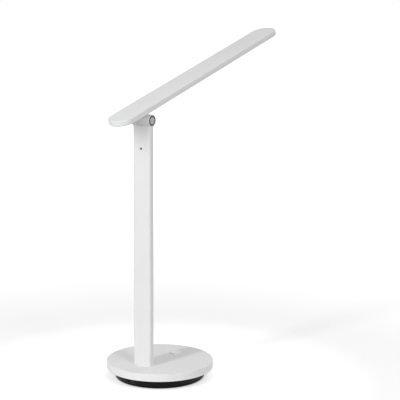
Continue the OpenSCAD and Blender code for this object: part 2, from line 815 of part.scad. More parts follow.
module hinge_knuckle() {
    channel_r = lead_r + 0.45;
    color("white") on_head() difference() {
        union() {
            rod_x(knuckle_r, -knuckle_w / 2, knuckle_w / 2);
            translate([-knuckle_w / 2, -neck_w / 2, 0])
                cube([knuckle_w, neck_w, head_drop + plate_z + plate_t / 2]);
            translate([-plate_w / 2, plate_front, head_drop + plate_z])
                cube([plate_w, plate_back - plate_front, plate_t]);
        }
        rod_x(pin_r, -knuckle_w / 2 - cut, -pin_in_x);
        rod_x(pin_r, bush_in_x, knuckle_w / 2 + cut);
        rod_x(channel_r, -channel_r, bush_in_x + cut);
        cylinder(r = channel_r, h = head_drop + plate_z + plate_t + cut);
        // Way forward for the lead, through the plate
        translate([-channel_r, plate_front - cut, head_drop + plate_z - cut])
            cube([2 * channel_r, -plate_front + cut, plate_t + 2 * cut]);
        for (p = knuckle_screw_at) translate([p[0], p[1], head_drop + plate_z - cut])
            cylinder(r = board_screw_r + 0.1, h = plate_t + 2 * cut);
    }
}

module friction_pin() {
    color("silver") on_head() {
        rod_x(pin_r, -nut_x, -pin_in_x);
        rod_x(thread_r, -pin_end_x, -nut_x + 0.2);
    }
}

// Two dished washers set rim to rim round the pin
module disc_springs() {
    inner = pin_r + 0.1;
    outer = ear_bore_r - 0.5;
    color("silver") on_head() translate([-spring_x, 0, 0]) rotate([0, -90, 0]) rotate_extrude() {
        polygon([[inner, spring_h - spring_t], [outer, 0], [outer, spring_t], [inner, spring_h]]);
        translate([0, spring_h]) polygon([[inner, 0], [outer, spring_h - spring_t], [outer, spring_h], [inner, spring_t]]);
    }
}

module thrust_washer() {
    color("gold") on_head() difference() {
        rod_x(ear_bore_r - 0.5, -nut_x, -washer_x);
        rod_x(pin_r + seat_gap, -nut_x - cut, -washer_x + cut);
    }
}

module friction_nut() {
    color("silver") on_head() difference() {
        translate([-nut_x - nut_t, 0, 0]) rotate([0, 90, 0]) cylinder(d = nut_flats / cos(30), h = nut_t, $fn = 6);
        rod_x(thread_r, -nut_x - nut_t - cut, -nut_x + cut);
    }
}

// Hollow bush that turns in the other ear and lets the lead through
module lead_bush() {
    color("gold") on_head() difference() {
        union() {
            rod_x(pin_r, bush_in_x, web_x + 1);
            rod_x(pin_r + 0.9, web_x + seat_gap, web_x + 1);
        }
        rod_x(lead_r + 0.6, bush_in_x - cut, web_x + 1 + cut);
    }
}

module knuckle_screws() {
    color("silver") in_head() for (p = knuckle_screw_at) translate([p[0], p[1], plate_z])
        pan_screw(board_screw_r, board_screw_r + 0.9, 1.1, ceiling_z - plate_z + head_wall * 0.5);
}

// ---- Head ----

module head_cover() {
    boss_r = board_screw_r + 1.3;
    color("white") in_head() difference() {
        union() {
            difference() {
                translate([0, head_mid_y, 0])
                    round_ended_strip(head_l, head_w, head_t, head_edge, head_low_edge);
                translate([0, head_mid_y, -cut])
                    round_ended_strip(head_l - 2 * head_wall, head_w - 2 * head_wall, ceiling_z + cut,
                        max(0.4, head_edge - head_wall), min(cut, head_low_edge));
            }
            for (p = knuckle_screw_at) translate([p[0], p[1], plate_z + plate_t])
                cylinder(r = boss_r, h = ceiling_z - plate_z - plate_t + cut);
        }
        for (p = knuckle_screw_at) translate([p[0], p[1], plate_z])
            cylinder(r = board_screw_r, h = ceiling_z - plate_z + head_wall * 0.5);
        for (y = led_screw_y) translate([0, y, led_board_z])
            cylinder(r = board_screw_r, h = led_board_t + head_wall * 0.6);
    }
}

module head_frame() {
    outer_l = head_l - 2 * head_wall - 2 * frame_gap;
    outer_w = head_w - 2 * head_wall - 2 * frame_gap;
    color("white") in_head() difference() {
        translate([0, head_mid_y, frame_inset]) union() {
            round_ended_plate(outer_l, outer_w, frame_t);
            difference() {
                round_ended_plate(outer_l, outer_w, frame_t + rib_h);
                translate([0, 0, frame_t])
                    round_ended_plate(outer_l - 2 * rib_t, outer_w - 2 * rib_t, rib_h + cut);
            }
        }
        translate([0, window_y, 0]) round_ended_plate(window_l, window_w, frame_top + cut);
        translate([-knuckle_w / 2 - loose, -neck_w / 2 - loose, 0])
            cube([knuckle_w + 2 * loose, neck_w + 2 * loose, frame_top + cut]);
    }
}

module diffuser() {
    color("whitesmoke") in_head() translate([0, window_y, 0]) {
        translate([0, 0, frame_inset + 0.1])
            round_ended_plate(window_l - 0.2, window_w - 0.2, frame_t + rim_t / 2);
        translate([0, 0, frame_top])
            round_ended_plate(window_l + 2 * rim_w, window_w + 2 * rim_w, rim_t);
    }
}

module at_leds() {
    for (x = [-1, 1], k = [0:led_count - 1])
        translate([x * led_row_gap / 2, window_y + (k - (led_count - 1) / 2) * led_pitch, 0]) children();
}

module reflector() {
    color("white") in_head() difference() {
        translate([-led_board_w / 2 - 1, window_y - led_board_l / 2, reflector_z])
            cube([led_board_w + 2, led_board_l - 8, reflector_t]);
        at_leds() translate([-led_w / 2 - reflector_gap, -led_l / 2 - reflector_gap, reflector_z - cut])
            cube([led_w + 2 * reflector_gap, led_l + 2 * reflector_gap, reflector_t + 2 * cut]);
        for (y = led_screw_y) translate([0, y, reflector_z - cut])
            cylinder(r = board_screw_r + 1.1, h = reflector_t + 2 * cut);
    }
}

module led_board() {
    color("ivory") in_head() difference() {
        translate([-led_board_w / 2, window_y - led_board_l / 2, led_board_z])
            cube([led_board_w, led_board_l, led_board_t]);
        for (y = led_screw_y) translate([0, y, led_board_z - cut])
            cylinder(r = board_screw_r, h = led_board_t + 2 * cut);
    }
}

module led_chips() {
    color("khaki") in_head() at_leds()
        translate([-led_w / 2, -led_l / 2, led_z]) cube([led_w, led_l, led_h]);
}

module led_screws() {
    color("silver") in_head() for (y = led_screw_y) translate([0, y, led_board_z])
        pan_screw(board_screw_r, board_screw_r + 0.9, 0.9, led_board_t + head_wall * 0.5);
}

module led_connector() {
    color("ivory") in_head() translate([-3, connector_y - 2, led_board_z - 1.8]) cube([6, 4, 1.8]);
}

// The lead leaves the bush, turns up the neck and runs forward to the lamp board
module head_lead() {
    plug = head_drop + led_board_z - 0.9;
    color("dimgray") on_head() lead([
        [bush_in_x + 1.2, 0, 0],
        [0, 0, 0],
        [0, 0, plug],
        [0, connector_y + 2, plug]
    ], lead_r, 1.5);
}

base_cover();
base_tray();
foot_pad();
ballast_plate();
base_screws();
battery_foam_pad();
battery_pack();
control_board();
board_parts();
board_screws();
tact_switch();
board_connectors();
charge_board();
charge_socket();
charge_screws();
base_leads();
column_shell();
column_block();
column_screws();
column_lead();
lead_clamp();
grub_screw();
hinge_cap_left();
hinge_cap_right();
cap_disc_left();
cap_disc_right();
button_cap();
switch_plunger();
hinge_knuckle();
friction_pin();
disc_springs();
thrust_washer();
friction_nut();
lead_bush();
knuckle_screws();
head_cover();
head_frame();
diffuser();
reflector();
led_board();
led_chips();
led_screws();
led_connector();
head_lead();
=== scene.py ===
"""Looks of a folding LED desk lamp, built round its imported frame.

Sizes are millimetres in the classes and become metres when a mesh is made. Each sub-assembly of the lamp is a
class that holds its own sizes, makes its mouldings as numpy surfaces, and puts them on the frame's bodies.
"""

import logging
import math
from dataclasses import dataclass
from enum import Enum
from typing import Optional, Sequence

import bpy
import numpy as np
from mathutils import Matrix


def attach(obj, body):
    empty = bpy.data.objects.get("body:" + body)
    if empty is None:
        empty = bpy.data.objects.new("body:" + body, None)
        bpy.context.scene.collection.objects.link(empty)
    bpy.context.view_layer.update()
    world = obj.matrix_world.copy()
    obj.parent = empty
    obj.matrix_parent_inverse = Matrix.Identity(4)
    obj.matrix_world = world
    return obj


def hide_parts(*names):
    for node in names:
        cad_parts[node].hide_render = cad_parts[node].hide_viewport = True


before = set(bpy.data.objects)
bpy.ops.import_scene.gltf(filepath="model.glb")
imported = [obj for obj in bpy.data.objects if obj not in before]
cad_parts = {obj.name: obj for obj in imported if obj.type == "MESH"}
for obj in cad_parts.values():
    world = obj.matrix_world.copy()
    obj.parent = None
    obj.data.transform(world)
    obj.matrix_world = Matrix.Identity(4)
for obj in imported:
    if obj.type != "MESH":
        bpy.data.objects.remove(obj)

log = logging.getLogger("desk_lamp")

MM = 0.001
SUPPORT = 0.15                    # distance of the support points from a fillet, mm
CREASE = math.radians(30)         # edges sharper than this are shaded as edges
ROUND = 160                       # points round a large circle
FINE = 96                         # points round a small circle
HINGE_SIDES = 144                 # points round the rods of the hinge

COVER_TOP = 19.6                  # height of the base cover's top, mm
BUTTON_Y = -29.0                  # the button's centre along Y, mm
COLUMN_Y = 29.4                   # the column's middle and the hinge axis along Y, mm
HINGE_Z = 292.0                   # height of the hinge axis, mm
TILT = math.radians(17)           # how far the head stands above horizontal
CAP_X = 10.3                      # distance of the caps' seats from the lamp's middle, mm
KNUCKLE_SCREWS = [(x, y) for x in (-8.8, 8.8) for y in (-16.0, 20.0)]    # in the head's own frame, mm

Place = tuple[float, float]
Triple = tuple[float, float, float]
Colour = Triple
Corner = Triple


# ---- Choices ----

class Body(str, Enum):
    """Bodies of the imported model."""

    STAND = "stand"
    BUTTON = "button"
    HEAD = "head"


class End(Enum):
    """How a run of rings is closed at one end."""

    POLE = "the ring is drawn together to a point"
    FLAT = "one flat face fills the ring"
    LOOP = "the last ring joins the first"


class Carving(str, Enum):
    """What a carving tool does to a piece."""

    ADD = "UNION"
    REMOVE = "DIFFERENCE"


# ---- Curves and surfaces, as whole arrays ----

def rounded(corners: Sequence[Corner], closed: bool = False, per_quarter: int = 6) -> np.ndarray:
    """Draw a profile through corners, each rounded by a radius of its own.

    An arc starts and ends at radius / tan(half the inner angle) from its corner. With the arc's centre as
    origin, and first and last as its ends, its points are (sin((1 - k) turn) first + sin(k turn) last) /
    sin(turn) for k from 0 to 1. A support point beyond each end keeps the flats beside the arc evenly
    shaded.

    Args:
        corners: distance, height and fillet radius of each corner.
        closed: whether the last corner leads back to the first.
        per_quarter: steps of an arc through a quarter turn.

    Returns:
        The profile's points, one row each: distance and height.
    """
    points = np.array([corner[:2] for corner in corners], float)
    radii = np.array([corner[2] for corner in corners], float)
    if not closed:
        radii[[0, -1]] = 0.0
    back, ahead = np.roll(points, 1, 0) - points, np.roll(points, -1, 0) - points
    back_run, ahead_run = np.linalg.norm(back, axis=1), np.linalg.norm(ahead, axis=1)
    back, ahead = back / back_run[:, None], ahead / ahead_run[:, None]
    half = np.arccos(np.clip((back * ahead).sum(1), -1.0, 1.0)) / 2
    reach = np.where(radii > 0, radii / np.tan(np.maximum(half, 1e-6)), 0.0)
    free_back = back_run - reach - np.roll(reach, 1)
    free_ahead = ahead_run - reach - np.roll(reach, -1)
    drawn = []
    for i, radius in enumerate(radii):
        if radius == 0:
            drawn.append(points[i:i + 1])
            continue
        turn = math.pi - 2 * half[i]
        toward = back[i] + ahead[i]
        centre = points[i] + toward / np.linalg.norm(toward) * radius / math.sin(half[i])
        first = points[i] + back[i] * reach[i] - centre
        last = points[i] + ahead[i] * reach[i] - centre
        steps = max(2, round(per_quarter * turn / (math.pi / 2)))
        k = np.linspace(0, 1, steps + 1)[:, None]
        arc = centre + (np.sin((1 - k) * turn) * first + np.sin(k * turn) * last) / math.sin(turn)
        if free_back[i] > 3 * SUPPORT:
            drawn.append((points[i] + back[i] * (reach[i] + SUPPORT))[None])
        drawn.append(arc)
        if free_ahead[i] > 3 * SUPPORT:
            drawn.append((points[i] + ahead[i] * (reach[i] + SUPPORT))[None])
    return np.concatenate(drawn)


@dataclass(frozen=True)
class Outline:
    """Closed outline made of arcs and straight runs: point = centre + distance × direction.

    Attributes:
        centres: centre that each point is measured from, one row each.
        directions: unit direction from that centre, one row each.
    """

    centres: np.ndarray
    directions: np.ndarray

    @classmethod
    def through(cls, corners: Sequence[Place], per_arc: int, runs: Sequence[float] = ()) -> "Outline":
        """Lay an outline round arc centres that are given anticlockwise.

        The arc at a centre turns from the direction square to the side before it to the one square to the
        side after it. Along a side the centre slides from one arc's centre to the next, and the direction
        stays.

        Args:
            corners: the arcs' centres; a single one gives a circle.
            per_arc: steps of each arc.
            runs: shares of each side at which it gets a point.

        Returns:
            The outline.
        """
        middle = np.array(corners, float)
        if len(middle) == 1:
            turn = np.linspace(0, 2 * np.pi, per_arc, endpoint=False)
            return cls(np.repeat(middle, per_arc, 0), np.stack([np.cos(turn), np.sin(turn)], 1))
        side = np.roll(middle, -1, 0) - middle
        square = np.arctan2(-side[:, 0], side[:, 1])
        centres, turns = [], []
        for i in range(len(middle)):
            start = square[i - 1]
            span = (square[i] - start) % (2 * np.pi)
            centres += [np.repeat(middle[i:i + 1], per_arc + 1, 0)]
            turns += [start + span * np.linspace(0, 1, per_arc + 1)]
            share = np.array(runs, float)[:, None]
            centres += [middle[i] + share * side[i]]
            turns += [np.full(len(runs), square[i])]
        turn = np.concatenate(turns)
        return cls(np.concatenate(centres), np.stack([np.cos(turn), np.sin(turn)], 1))

    @classmethod
    def circle(cls, sides: int = FINE, centre: Place = (0.0, 0.0)) -> "Outline":
        """Return a circle round a centre."""
        return cls.through([centre], sides)

    @classmethod
    def strip(cls, front: float, back: float, per_arc: int = 40) -> "Outline":
        """Return an outline with half-round ends, whose arcs' centres lie on Y at front and back."""
        return cls.through([(0.0, front), (0.0, back)], per_arc, np.linspace(0, 1, 14)[1:-1])

    @classmethod
    def block(cls, half_x: float, half_y: float, corner: float, per_arc: int = 8,
              centre: Place = (0.0, 0.0)) -> "Outline":
        """Return a rectangle with rounded corners, to be read at a distance of its corner radius."""
        x, y = half_x - corner, half_y - corner
        at = [(x, -y), (x, y), (-x, y), (-x, -y)]
        edge = SUPPORT / (2 * max(min(x, y), 2 * SUPPORT))
        return cls.through([(centre[0] + a, centre[1] + b) for a, b in at], per_arc, (edge, 0.5, 1 - edge))

    def rings(self, profile: np.ndarray) -> np.ndarray:
        """Carry a profile round the outline: one ring for each of its points, at its distance and height."""
        flat = self.centres[None] + profile[:, 0, None, None] * self.directions[None]
        height = np.broadcast_to(profile[:, 1, None, None], flat.shape[:2] + (1,))
        return np.concatenate([flat, height], -1)


@dataclass(frozen=True)
class Placement:
    """Turn and shift that put points into the lamp's frame: placed = turn · point + origin."""

    turn: tuple[Triple, ...] = ((1, 0, 0), (0, 1, 0), (0, 0, 1))
    origin: Triple = (0.0, 0.0, 0.0)

    def apply(self, points: np.ndarray) -> np.ndarray:
        """Return the points, turned and then shifted."""
        return points @ np.array(self.turn, float).T + np.array(self.origin, float)

    def lifted(self, height: float) -> "Placement":
        """Return the same placement, with its origin moved along its own Z."""
        return Placement(self.turn, tuple(self.apply(np.array([[0.0, 0.0, height]]))[0]))


@dataclass
class Skin:
    """One or more closed skins, in millimetres.

    Attributes:
        points: the vertices, one row each.
        faces: the vertices of each face, in order.
    """

    points: np.ndarray
    faces: list[list[int]]

    @classmethod
    def from_rings(cls, rings: np.ndarray, first: End, last: End) -> "Skin":
        """Join rings of points into a closed skin whose faces point outwards.

        Args:
            rings: array of shape (rings, points in a ring, 3).
            first: how the first ring is closed.
            last: how the last ring is closed.

        Returns:
            The skin.
        """
        count, around = rings.shape[:2]
        here = np.arange(count * around).reshape(count, around)
        beside = np.roll(here, -1, 1)
        start = 1 if first is End.POLE else 0
        stop = count - 1 if last is End.POLE else count
        if first is End.LOOP:
            above, above_beside = np.roll(here, -1, 0), np.roll(beside, -1, 0)
            quads = np.stack([here, beside, above_beside, above], -1)
        else:
            low, high = slice(start, stop - 1), slice(start + 1, stop)
            quads = np.stack([here[low], beside[low], beside[high], here[high]], -1)
        faces = quads.reshape(-1, 4).tolist()
        if first is End.POLE:
            pole = np.full(around, here[0, 0])
            faces += np.stack([pole, beside[1], here[1]], -1).tolist()
        elif first is End.FLAT:
            faces.append(here[0][::-1].tolist())
        if last is End.POLE:
            pole = np.full(around, here[-1, 0])
            faces += np.stack([here[-2], beside[-2], pole], -1).tolist()
        elif last is End.FLAT:
            faces.append(here[-1].tolist())
        skin = cls(rings.reshape(-1, 3), faces).without_spares()
        return skin if skin.volume() > 0 else skin.turned()

    def without_spares(self) -> "Skin":
        """Return the skin without the vertices that no face uses."""
        used = np.unique(np.concatenate([np.array(face) for face in self.faces]))
        place = np.zeros(len(self.points), int)
        place[used] = np.arange(len(used))
        return Skin(self.points[used], [place[face].tolist() for face in self.faces])

    def volume(self) -> float:
        """Return the volume: a sixth of the sum of a · (b × c) over a fan of triangles on each face."""
        fans = np.array([(face[0], face[i], face[i + 1])
                         for face in self.faces for i in range(1, len(face) - 1)])
        a, b, c = (self.points[fans[:, i]] for i in range(3))
        return float((a * np.cross(b, c)).sum() / 6)

    def turned(self) -> "Skin":
        """Return the skin with its faces the other way round."""
        return Skin(self.points, [face[::-1] for face in self.faces])

    def placed(self, placement: Placement) -> "Skin":
        """Return the skin in its place."""
        return Skin(placement.apply(self.points), self.faces)

    def __add__(self, other: "Skin") -> "Skin":
        """Return both skins as one."""
        step = len(self.points)
        return Skin(np.concatenate([self.points, other.points]),
                    self.faces + [[i + step for i in face] for face in other.faces])


def joined(skins: Sequence[Skin]) -> Skin:
    """Return several skins as one."""
    return sum(skins[1:], skins[0])


def capped_skin(outline: Outline, profile: np.ndarray) -> Skin:
    """Carry a profile round an outline, and fill its first and last ring with flat faces."""
    return Skin.from_rings(outline.rings(profile), End.FLAT, End.FLAT)


def turned_skin(corners: Sequence[Corner], sides: int = FINE, centre: Place = (0.0, 0.0)) -> Skin:
    """Spin a profile, from pole to pole, round the Z axis through a centre."""
    rings = Outline.circle(sides, centre).rings(rounded(corners))
    return Skin.from_rings(rings, End.POLE, End.POLE)


def rod_skin(radius: float, low: float, high: float, sides: int = FINE, edge: float = 0.0,
             centre: Place = (0.0, 0.0)) -> Skin:
    """Make a rod along Z between two heights, whose rims are rounded by the edge."""
    return turned_skin([(0, low, 0), (radius, low, edge), (radius, high, edge), (0, high, 0)], sides, centre)


def post_skin(radius: float, bore_r: float, heights: Triple, edges: Place, sides: int,
              places: Sequence[Place]) -> Skin:
    """Make posts that hang from a ceiling, each with a blind screw hole in its lower end.

    Args:
        radius: radius of a post.
        bore_r: radius of its hole.
        heights: heights of its lower end, of the end of its hole, and of its upper end.
        edges: fillets of its lower end, round the hole and outside.
        sides: points round it.
        places: where the posts stand.

    Returns:
        The posts, as one skin.
    """
    low, bored, high = heights
    corners = [(0, bored, 0), (bore_r, bored, 0), (bore_r, low, edges[0]), (radius, low, edges[1]),
               (radius, high, 0), (0, high, 0)]
    return joined([turned_skin(corners, sides, place) for place in places])


def block_skin(half_x: float, half_y: float, corner: float, low: float, high: float, edge: float = 0.0,
               centre: Place = (0.0, 0.0)) -> Skin:
    """Make a block with rounded corners between two heights.

    Args:
        half_x: half its width.
        half_y: half its depth.
        corner: radius of its upright corners.
        low: height of its underside.
        high: height of its top.
        edge: fillet of its upper and lower edges.
        centre: its centre in X and Y.

    Returns:
        The skin.
    """
    inner = corner - min(corner, edge + SUPPORT)
    profile = rounded([(inner, low, 0), (corner, low, edge), (corner, high, edge), (inner, high, 0)])
    return capped_skin(Outline.block(half_x, half_y, corner, centre=centre), profile)


# ---- Blender objects ----

def new_object(name: str, data: bpy.types.ID) -> bpy.types.Object:
    """Return a new object that shows some data in the scene."""
    made = bpy.data.objects.new(name, data)
    bpy.context.scene.collection.objects.link(made)
    return made


def make_object(name: str, skin: Skin) -> bpy.types.Object:
    """Put a skin into a new mesh object at the origin, in metres."""
    mesh = bpy.data.meshes.new(name)
    mesh.from_pydata((skin.points * MM).tolist(), [], skin.faces)
    mesh.update()
    return new_object(name, mesh)


def carve(piece: bpy.types.Object, how: Carving, *tools: Skin) -> None:
    """Add tools to a piece, or cut them out of it, one after the other.

    Args:
        piece: the object to change.
        how: whether the tools are added or removed.
        tools: closed skins in the lamp's frame.
    """
    for tool in tools:
        cutter = make_object("carving_tool", tool)
        modifier = piece.modifiers.new("carving", "BOOLEAN")
        modifier.operation = how.value
        modifier.solver = "EXACT"
        modifier.object = cutter
        bpy.context.view_layer.update()
        result = bpy.data.meshes.new_from_object(piece.evaluated_get(bpy.context.evaluated_depsgraph_get()))
        piece.modifiers.clear()
        before, piece.data = piece.data, result
        result.name = piece.name
        bpy.data.meshes.remove(before)
        spare = cutter.data
        bpy.data.objects.remove(cutter)
        bpy.data.meshes.remove(spare)


def hand_over(piece: bpy.types.Object, body: Body, slot: str, material: bpy.types.Material,
              *nodes: str) -> None:
    """Shade a finished piece, dress it, and put it on its body in place of the frame's nodes.

    Args:
        piece: the finished object.
        body: the body that it moves with.
        slot: the record's material slot.
        material: its material.
        nodes: the frame's nodes that it stands for.
    """
    piece.data.polygons.foreach_set("use_smooth", np.ones(len(piece.data.polygons), bool))
    piece.data.set_sharp_from_angle(angle=CREASE)
    piece.data.materials.clear()
    piece.data.materials.append(material)
    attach(piece, body.value)
    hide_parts(*nodes)
    log.info("%s: %d faces, on %s", piece.name, len(piece.data.polygons), body.value)


# ---- Finishes ----

class Tree:
    """Node tree of a new material, with short ways to add and join its nodes."""

    def __init__(self, name: str) -> None:
        """Start a material with a Principled shader and the object's own coordinates."""
        self.material = bpy.data.materials.new(name)
        self.material.use_nodes = True
        self.nodes = self.material.node_tree.nodes
        self.links = self.material.node_tree.links
        self.nodes.clear()
        self.shader = self.nodes.new("ShaderNodeBsdfPrincipled")
        output = self.nodes.new("ShaderNodeOutputMaterial")
        self.links.new(self.shader.outputs["BSDF"], output.inputs["Surface"])
        self.place = self.nodes.new("ShaderNodeTexCoord").outputs["Object"]

    def set(self, **values: object) -> None:
        """Set the shader's own sockets, named with underscores for spaces."""
        for name, value in values.items():
            self.shader.inputs[name.replace("_", " ")].default_value = value

    def join(self, source: bpy.types.NodeSocket, target: str) -> None:
        """Lead a socket into one of the shader's."""
        self.links.new(source, self.shader.inputs[target])

    def mapped(self, scale: Sequence[float], origin: Sequence[float] = (0.0, 0.0, 0.0),
               turn: Sequence[float] = (0.0, 0.0, 0.0)) -> bpy.types.NodeSocket:
        """Return the coordinates moved to an origin, turned and scaled."""
        node = self.nodes.new("ShaderNodeMapping")
        node.vector_type = "TEXTURE"
        node.inputs["Location"].default_value = origin
        node.inputs["Rotation"].default_value = turn
        node.inputs["Scale"].default_value = [1 / s for s in scale]
        self.links.new(self.place, node.inputs["Vector"])
        return node.outputs["Vector"]

    def noise(self, size: float, detail: float = 2.0,
              vector: Optional[bpy.types.NodeSocket] = None) -> bpy.types.NodeSocket:
        """Return noise, from 0 to 1, whose features are about size millimetres wide."""
        node = self.nodes.new("ShaderNodeTexNoise")
        node.inputs["Scale"].default_value = 1 / (size * MM)
        node.inputs["Detail"].default_value = detail
        self.links.new(vector or self.place, node.inputs["Vector"])
        return node.outputs["Fac"]

    def cells(self, size: float, randomness: float = 1.0, feature: str = "F1") -> bpy.types.NodeSocket:
        """Return the distance from the middles or edges of cells about size millimetres wide."""
        node = self.nodes.new("ShaderNodeTexVoronoi")
        node.feature = feature
        node.inputs["Scale"].default_value = 1 / (size * MM)
        node.inputs["Randomness"].default_value = randomness
        self.links.new(self.place, node.inputs["Vector"])
        return node.outputs["Distance"]

    def ranged(self, value: bpy.types.NodeSocket, low: float, high: float,
               start: float = 0.3, end: float = 0.7) -> bpy.types.NodeSocket:
        """Return a value spread from low to high as it goes from start to end."""
        node = self.nodes.new("ShaderNodeMapRange")
        for name, number in (("From Min", start), ("From Max", end), ("To Min", low), ("To Max", high)):
            node.inputs[name].default_value = number
        self.links.new(value, node.inputs["Value"])
        return node.outputs["Result"]

    def mixed(self, share: bpy.types.NodeSocket, first: Colour, second: Colour) -> bpy.types.NodeSocket:
        """Return a colour between two, by share."""
        node = self.nodes.new("ShaderNodeMix")
        node.data_type = "RGBA"
        sockets = {socket.identifier: socket for socket in node.inputs}
        sockets["A_Color"].default_value = (*first, 1.0)
        sockets["B_Color"].default_value = (*second, 1.0)
        self.links.new(share, sockets["Factor_Float"])
        return next(socket for socket in node.outputs if socket.identifier == "Result_Color")

    def maths(self, operation: str, first: bpy.types.NodeSocket,
              second: Optional[object] = None) -> bpy.types.NodeSocket:
        """Return the result of a sum or function of one or two values."""
        node = self.nodes.new("ShaderNodeMath")
        node.operation = operation
        self.links.new(first, node.inputs[0])
        if isinstance(second, (int, float)):
            node.inputs[1].default_value = second
        elif second is not None:
            self.links.new(second, node.inputs[1])
        return node.outputs[0]

    def radius(self, vector: bpy.types.NodeSocket) -> bpy.types.NodeSocket:
        """Return the length of a vector."""
        node = self.nodes.new("ShaderNodeVectorMath")
        node.operation = "LENGTH"
        self.links.new(vector, node.inputs[0])
        return node.outputs["Value"]

    def relief(self, height: bpy.types.NodeSocket, depth: float) -> None:
        """Raise the surface by height times depth millimetres, on top of any relief made before."""
        node = self.nodes.new("ShaderNodeBump")
        node.inputs["Distance"].default_value = depth * MM
        self.links.new(height, node.inputs["Height"])
        earlier = self.shader.inputs["Normal"].links
        if earlier:
            self.links.new(earlier[0].from_socket, node.inputs["Normal"])
        self.links.new(node.outputs["Normal"], self.shader.inputs["Normal"])


def shaded(colour: Colour, share: float) -> Colour:
    """Return a colour multiplied by a share, never over 1."""
    return tuple(min(1.0, c * share) for c in colour)


@dataclass(frozen=True)
class Finish:
    """What every finish has: a colour that drifts a little, and a fine grain in gloss and relief.

    Attributes:
        colour: linear colour of the surface.
        roughness: mean roughness.
        spread: share by which the colour drifts to either side.
        patch: width of the drifting patches, mm.
        grain: width of the grain, mm.
        depth: depth of the grain, mm.
    """

    colour: Colour
    roughness: float = 0.5
    spread: float = 0.02
    patch: float = 30.0
    grain: float = 0.4
    depth: float = 0.004

    def start(self, name: str) -> Tree:
        """Return a tree with the finish's plain sockets set."""
        tree = Tree(name)
        tree.set(IOR=1.49)
        return tree

    def tone(self, tree: Tree) -> bpy.types.NodeSocket:
        """Return the surface's colour: two tones mixed by soft noise."""
        share = tree.ranged(tree.noise(self.patch, 3.0), 0.0, 1.0)
        return tree.mixed(share, shaded(self.colour, 1 - self.spread), shaded(self.colour, 1 + self.spread))

    def texture(self, tree: Tree) -> None:
        """Give the surface its grain."""
        grain = tree.noise(self.grain, 2.0)
        tree.join(tree.ranged(grain, self.roughness * 0.93, self.roughness * 1.07), "Roughness")
        tree.relief(grain, self.depth)

    def material(self, name: str) -> bpy.types.Material:
        """Return the finish as a new material."""
        tree = self.start(name)
        tree.join(self.tone(tree), "Base Color")
        self.texture(tree)
        return tree.material


@dataclass(frozen=True)
class MouldedPlastic(Finish):
    """Moulded plastic: spark-eroded grain over a long, barely visible wave of the mould's face.

    Attributes:
        wave: depth of that long wave, mm.
        gloss: strength of the clear gloss.
    """

    wave: float = 0.01
    gloss: float = 0.25

    def texture(self, tree: Tree) -> None:
        """Give the surface its grain, its wave and its gloss."""
        super().texture(tree)
        tree.relief(tree.noise(12.0, 1.0), self.wave)
        tree.set(Specular_IOR_Level=self.gloss)


@dataclass(frozen=True)
class OpalPlastic(Finish):
    """Milky diffuser: light goes a little way in, and rows of tiny dimples break up its gloss.

    Attributes:
        milk: share of the light that goes in.
        dimple: distance between dimples, mm.
    """

    milk: float = 0.35
    dimple: float = 0.9

    def texture(self, tree: Tree) -> None:
        """Give the surface its milkiness and its dimples."""
        super().texture(tree)
        tree.set(Subsurface_Weight=self.milk, Subsurface_Scale=0.004, Subsurface_Radius=(1.0, 0.95, 0.9))
        tree.relief(tree.cells(self.dimple, 0.15), 0.01)


@dataclass(frozen=True)
class DrawnMetal(Finish):
    """Metal with fine lines drawn along one direction.

    Attributes:
        stretch: how the lines are stretched along X, Y and Z.
    """

    stretch: Triple = (1.0, 1.0, 1.0)

    def start(self, name: str) -> Tree:
        """Return a tree with metal's plain sockets set."""
        tree = Tree(name)
        tree.set(Metallic=1.0)
        return tree

    def lines(self, tree: Tree) -> bpy.types.NodeSocket:
        """Return the lines' pattern, from 0 to 1."""
        return tree.noise(self.grain, 3.0, tree.mapped([1 / s for s in self.stretch]))

    def texture(self, tree: Tree) -> None:
        """Give the surface its lines and stains."""
        lines = self.lines(tree)
        smears = tree.noise(self.patch / 3, 2.0)
        both = tree.maths("MULTIPLY", tree.maths("ADD", lines, smears), 0.5)
        tree.join(tree.ranged(both, self.roughness * 0.8, self.roughness * 1.2), "Roughness")
        tree.relief(lines, self.depth)


@dataclass(frozen=True)
class TurnedMetal(DrawnMetal):
    """Metal turned on a lathe, with fine rings round the hinge axis.

    Attributes:
        centre: a point on the axis, in metres. The axis runs along X.
    """

    centre: Triple = (0.0, COLUMN_Y * MM, HINGE_Z * MM)

    def lines(self, tree: Tree) -> bpy.types.NodeSocket:
        """Return rings: noise read along the distance from the axis."""
        radius = tree.radius(tree.mapped((1e-6, 1.0, 1.0), self.centre))
        rings = tree.nodes.new("ShaderNodeTexNoise")
        rings.noise_dimensions = "1D"
        rings.inputs["Scale"].default_value = 1 / (self.grain * MM)
        rings.inputs["Detail"].default_value = 3.0
        tree.links.new(radius, rings.inputs["W"])
        return rings.outputs["Fac"]


@dataclass(frozen=True)
class CellFoam(Finish):
    """Foam or rubber with open cells.

    Attributes:
        cell: width of a cell, mm.
    """

    cell: float = 0.6

    def texture(self, tree: Tree) -> None:
        """Give the surface its grain and its cells."""
        super().texture(tree)
        tree.relief(tree.cells(self.cell), 4 * self.depth)


@dataclass(frozen=True)
class BoardLacquer(Finish):
    """Circuit board under green lacquer, with copper tracks that show through.

    Attributes:
        track: distance between tracks, mm.
        copper: colour of the lacquer over copper.
    """

    track: float = 2.4
    copper: Colour = (0.03, 0.24, 0.09)

    def tone(self, tree: Tree) -> bpy.types.NodeSocket:
        """Return the lacquer's colour, lighter along the edges of square cells."""
        track = tree.ranged(tree.cells(self.track, 0.6, "DISTANCE_TO_EDGE"), 1.0, 0.0, 0.06, 0.1)
        tree.relief(track, 0.03)
        return tree.mixed(track, self.colour, self.copper)


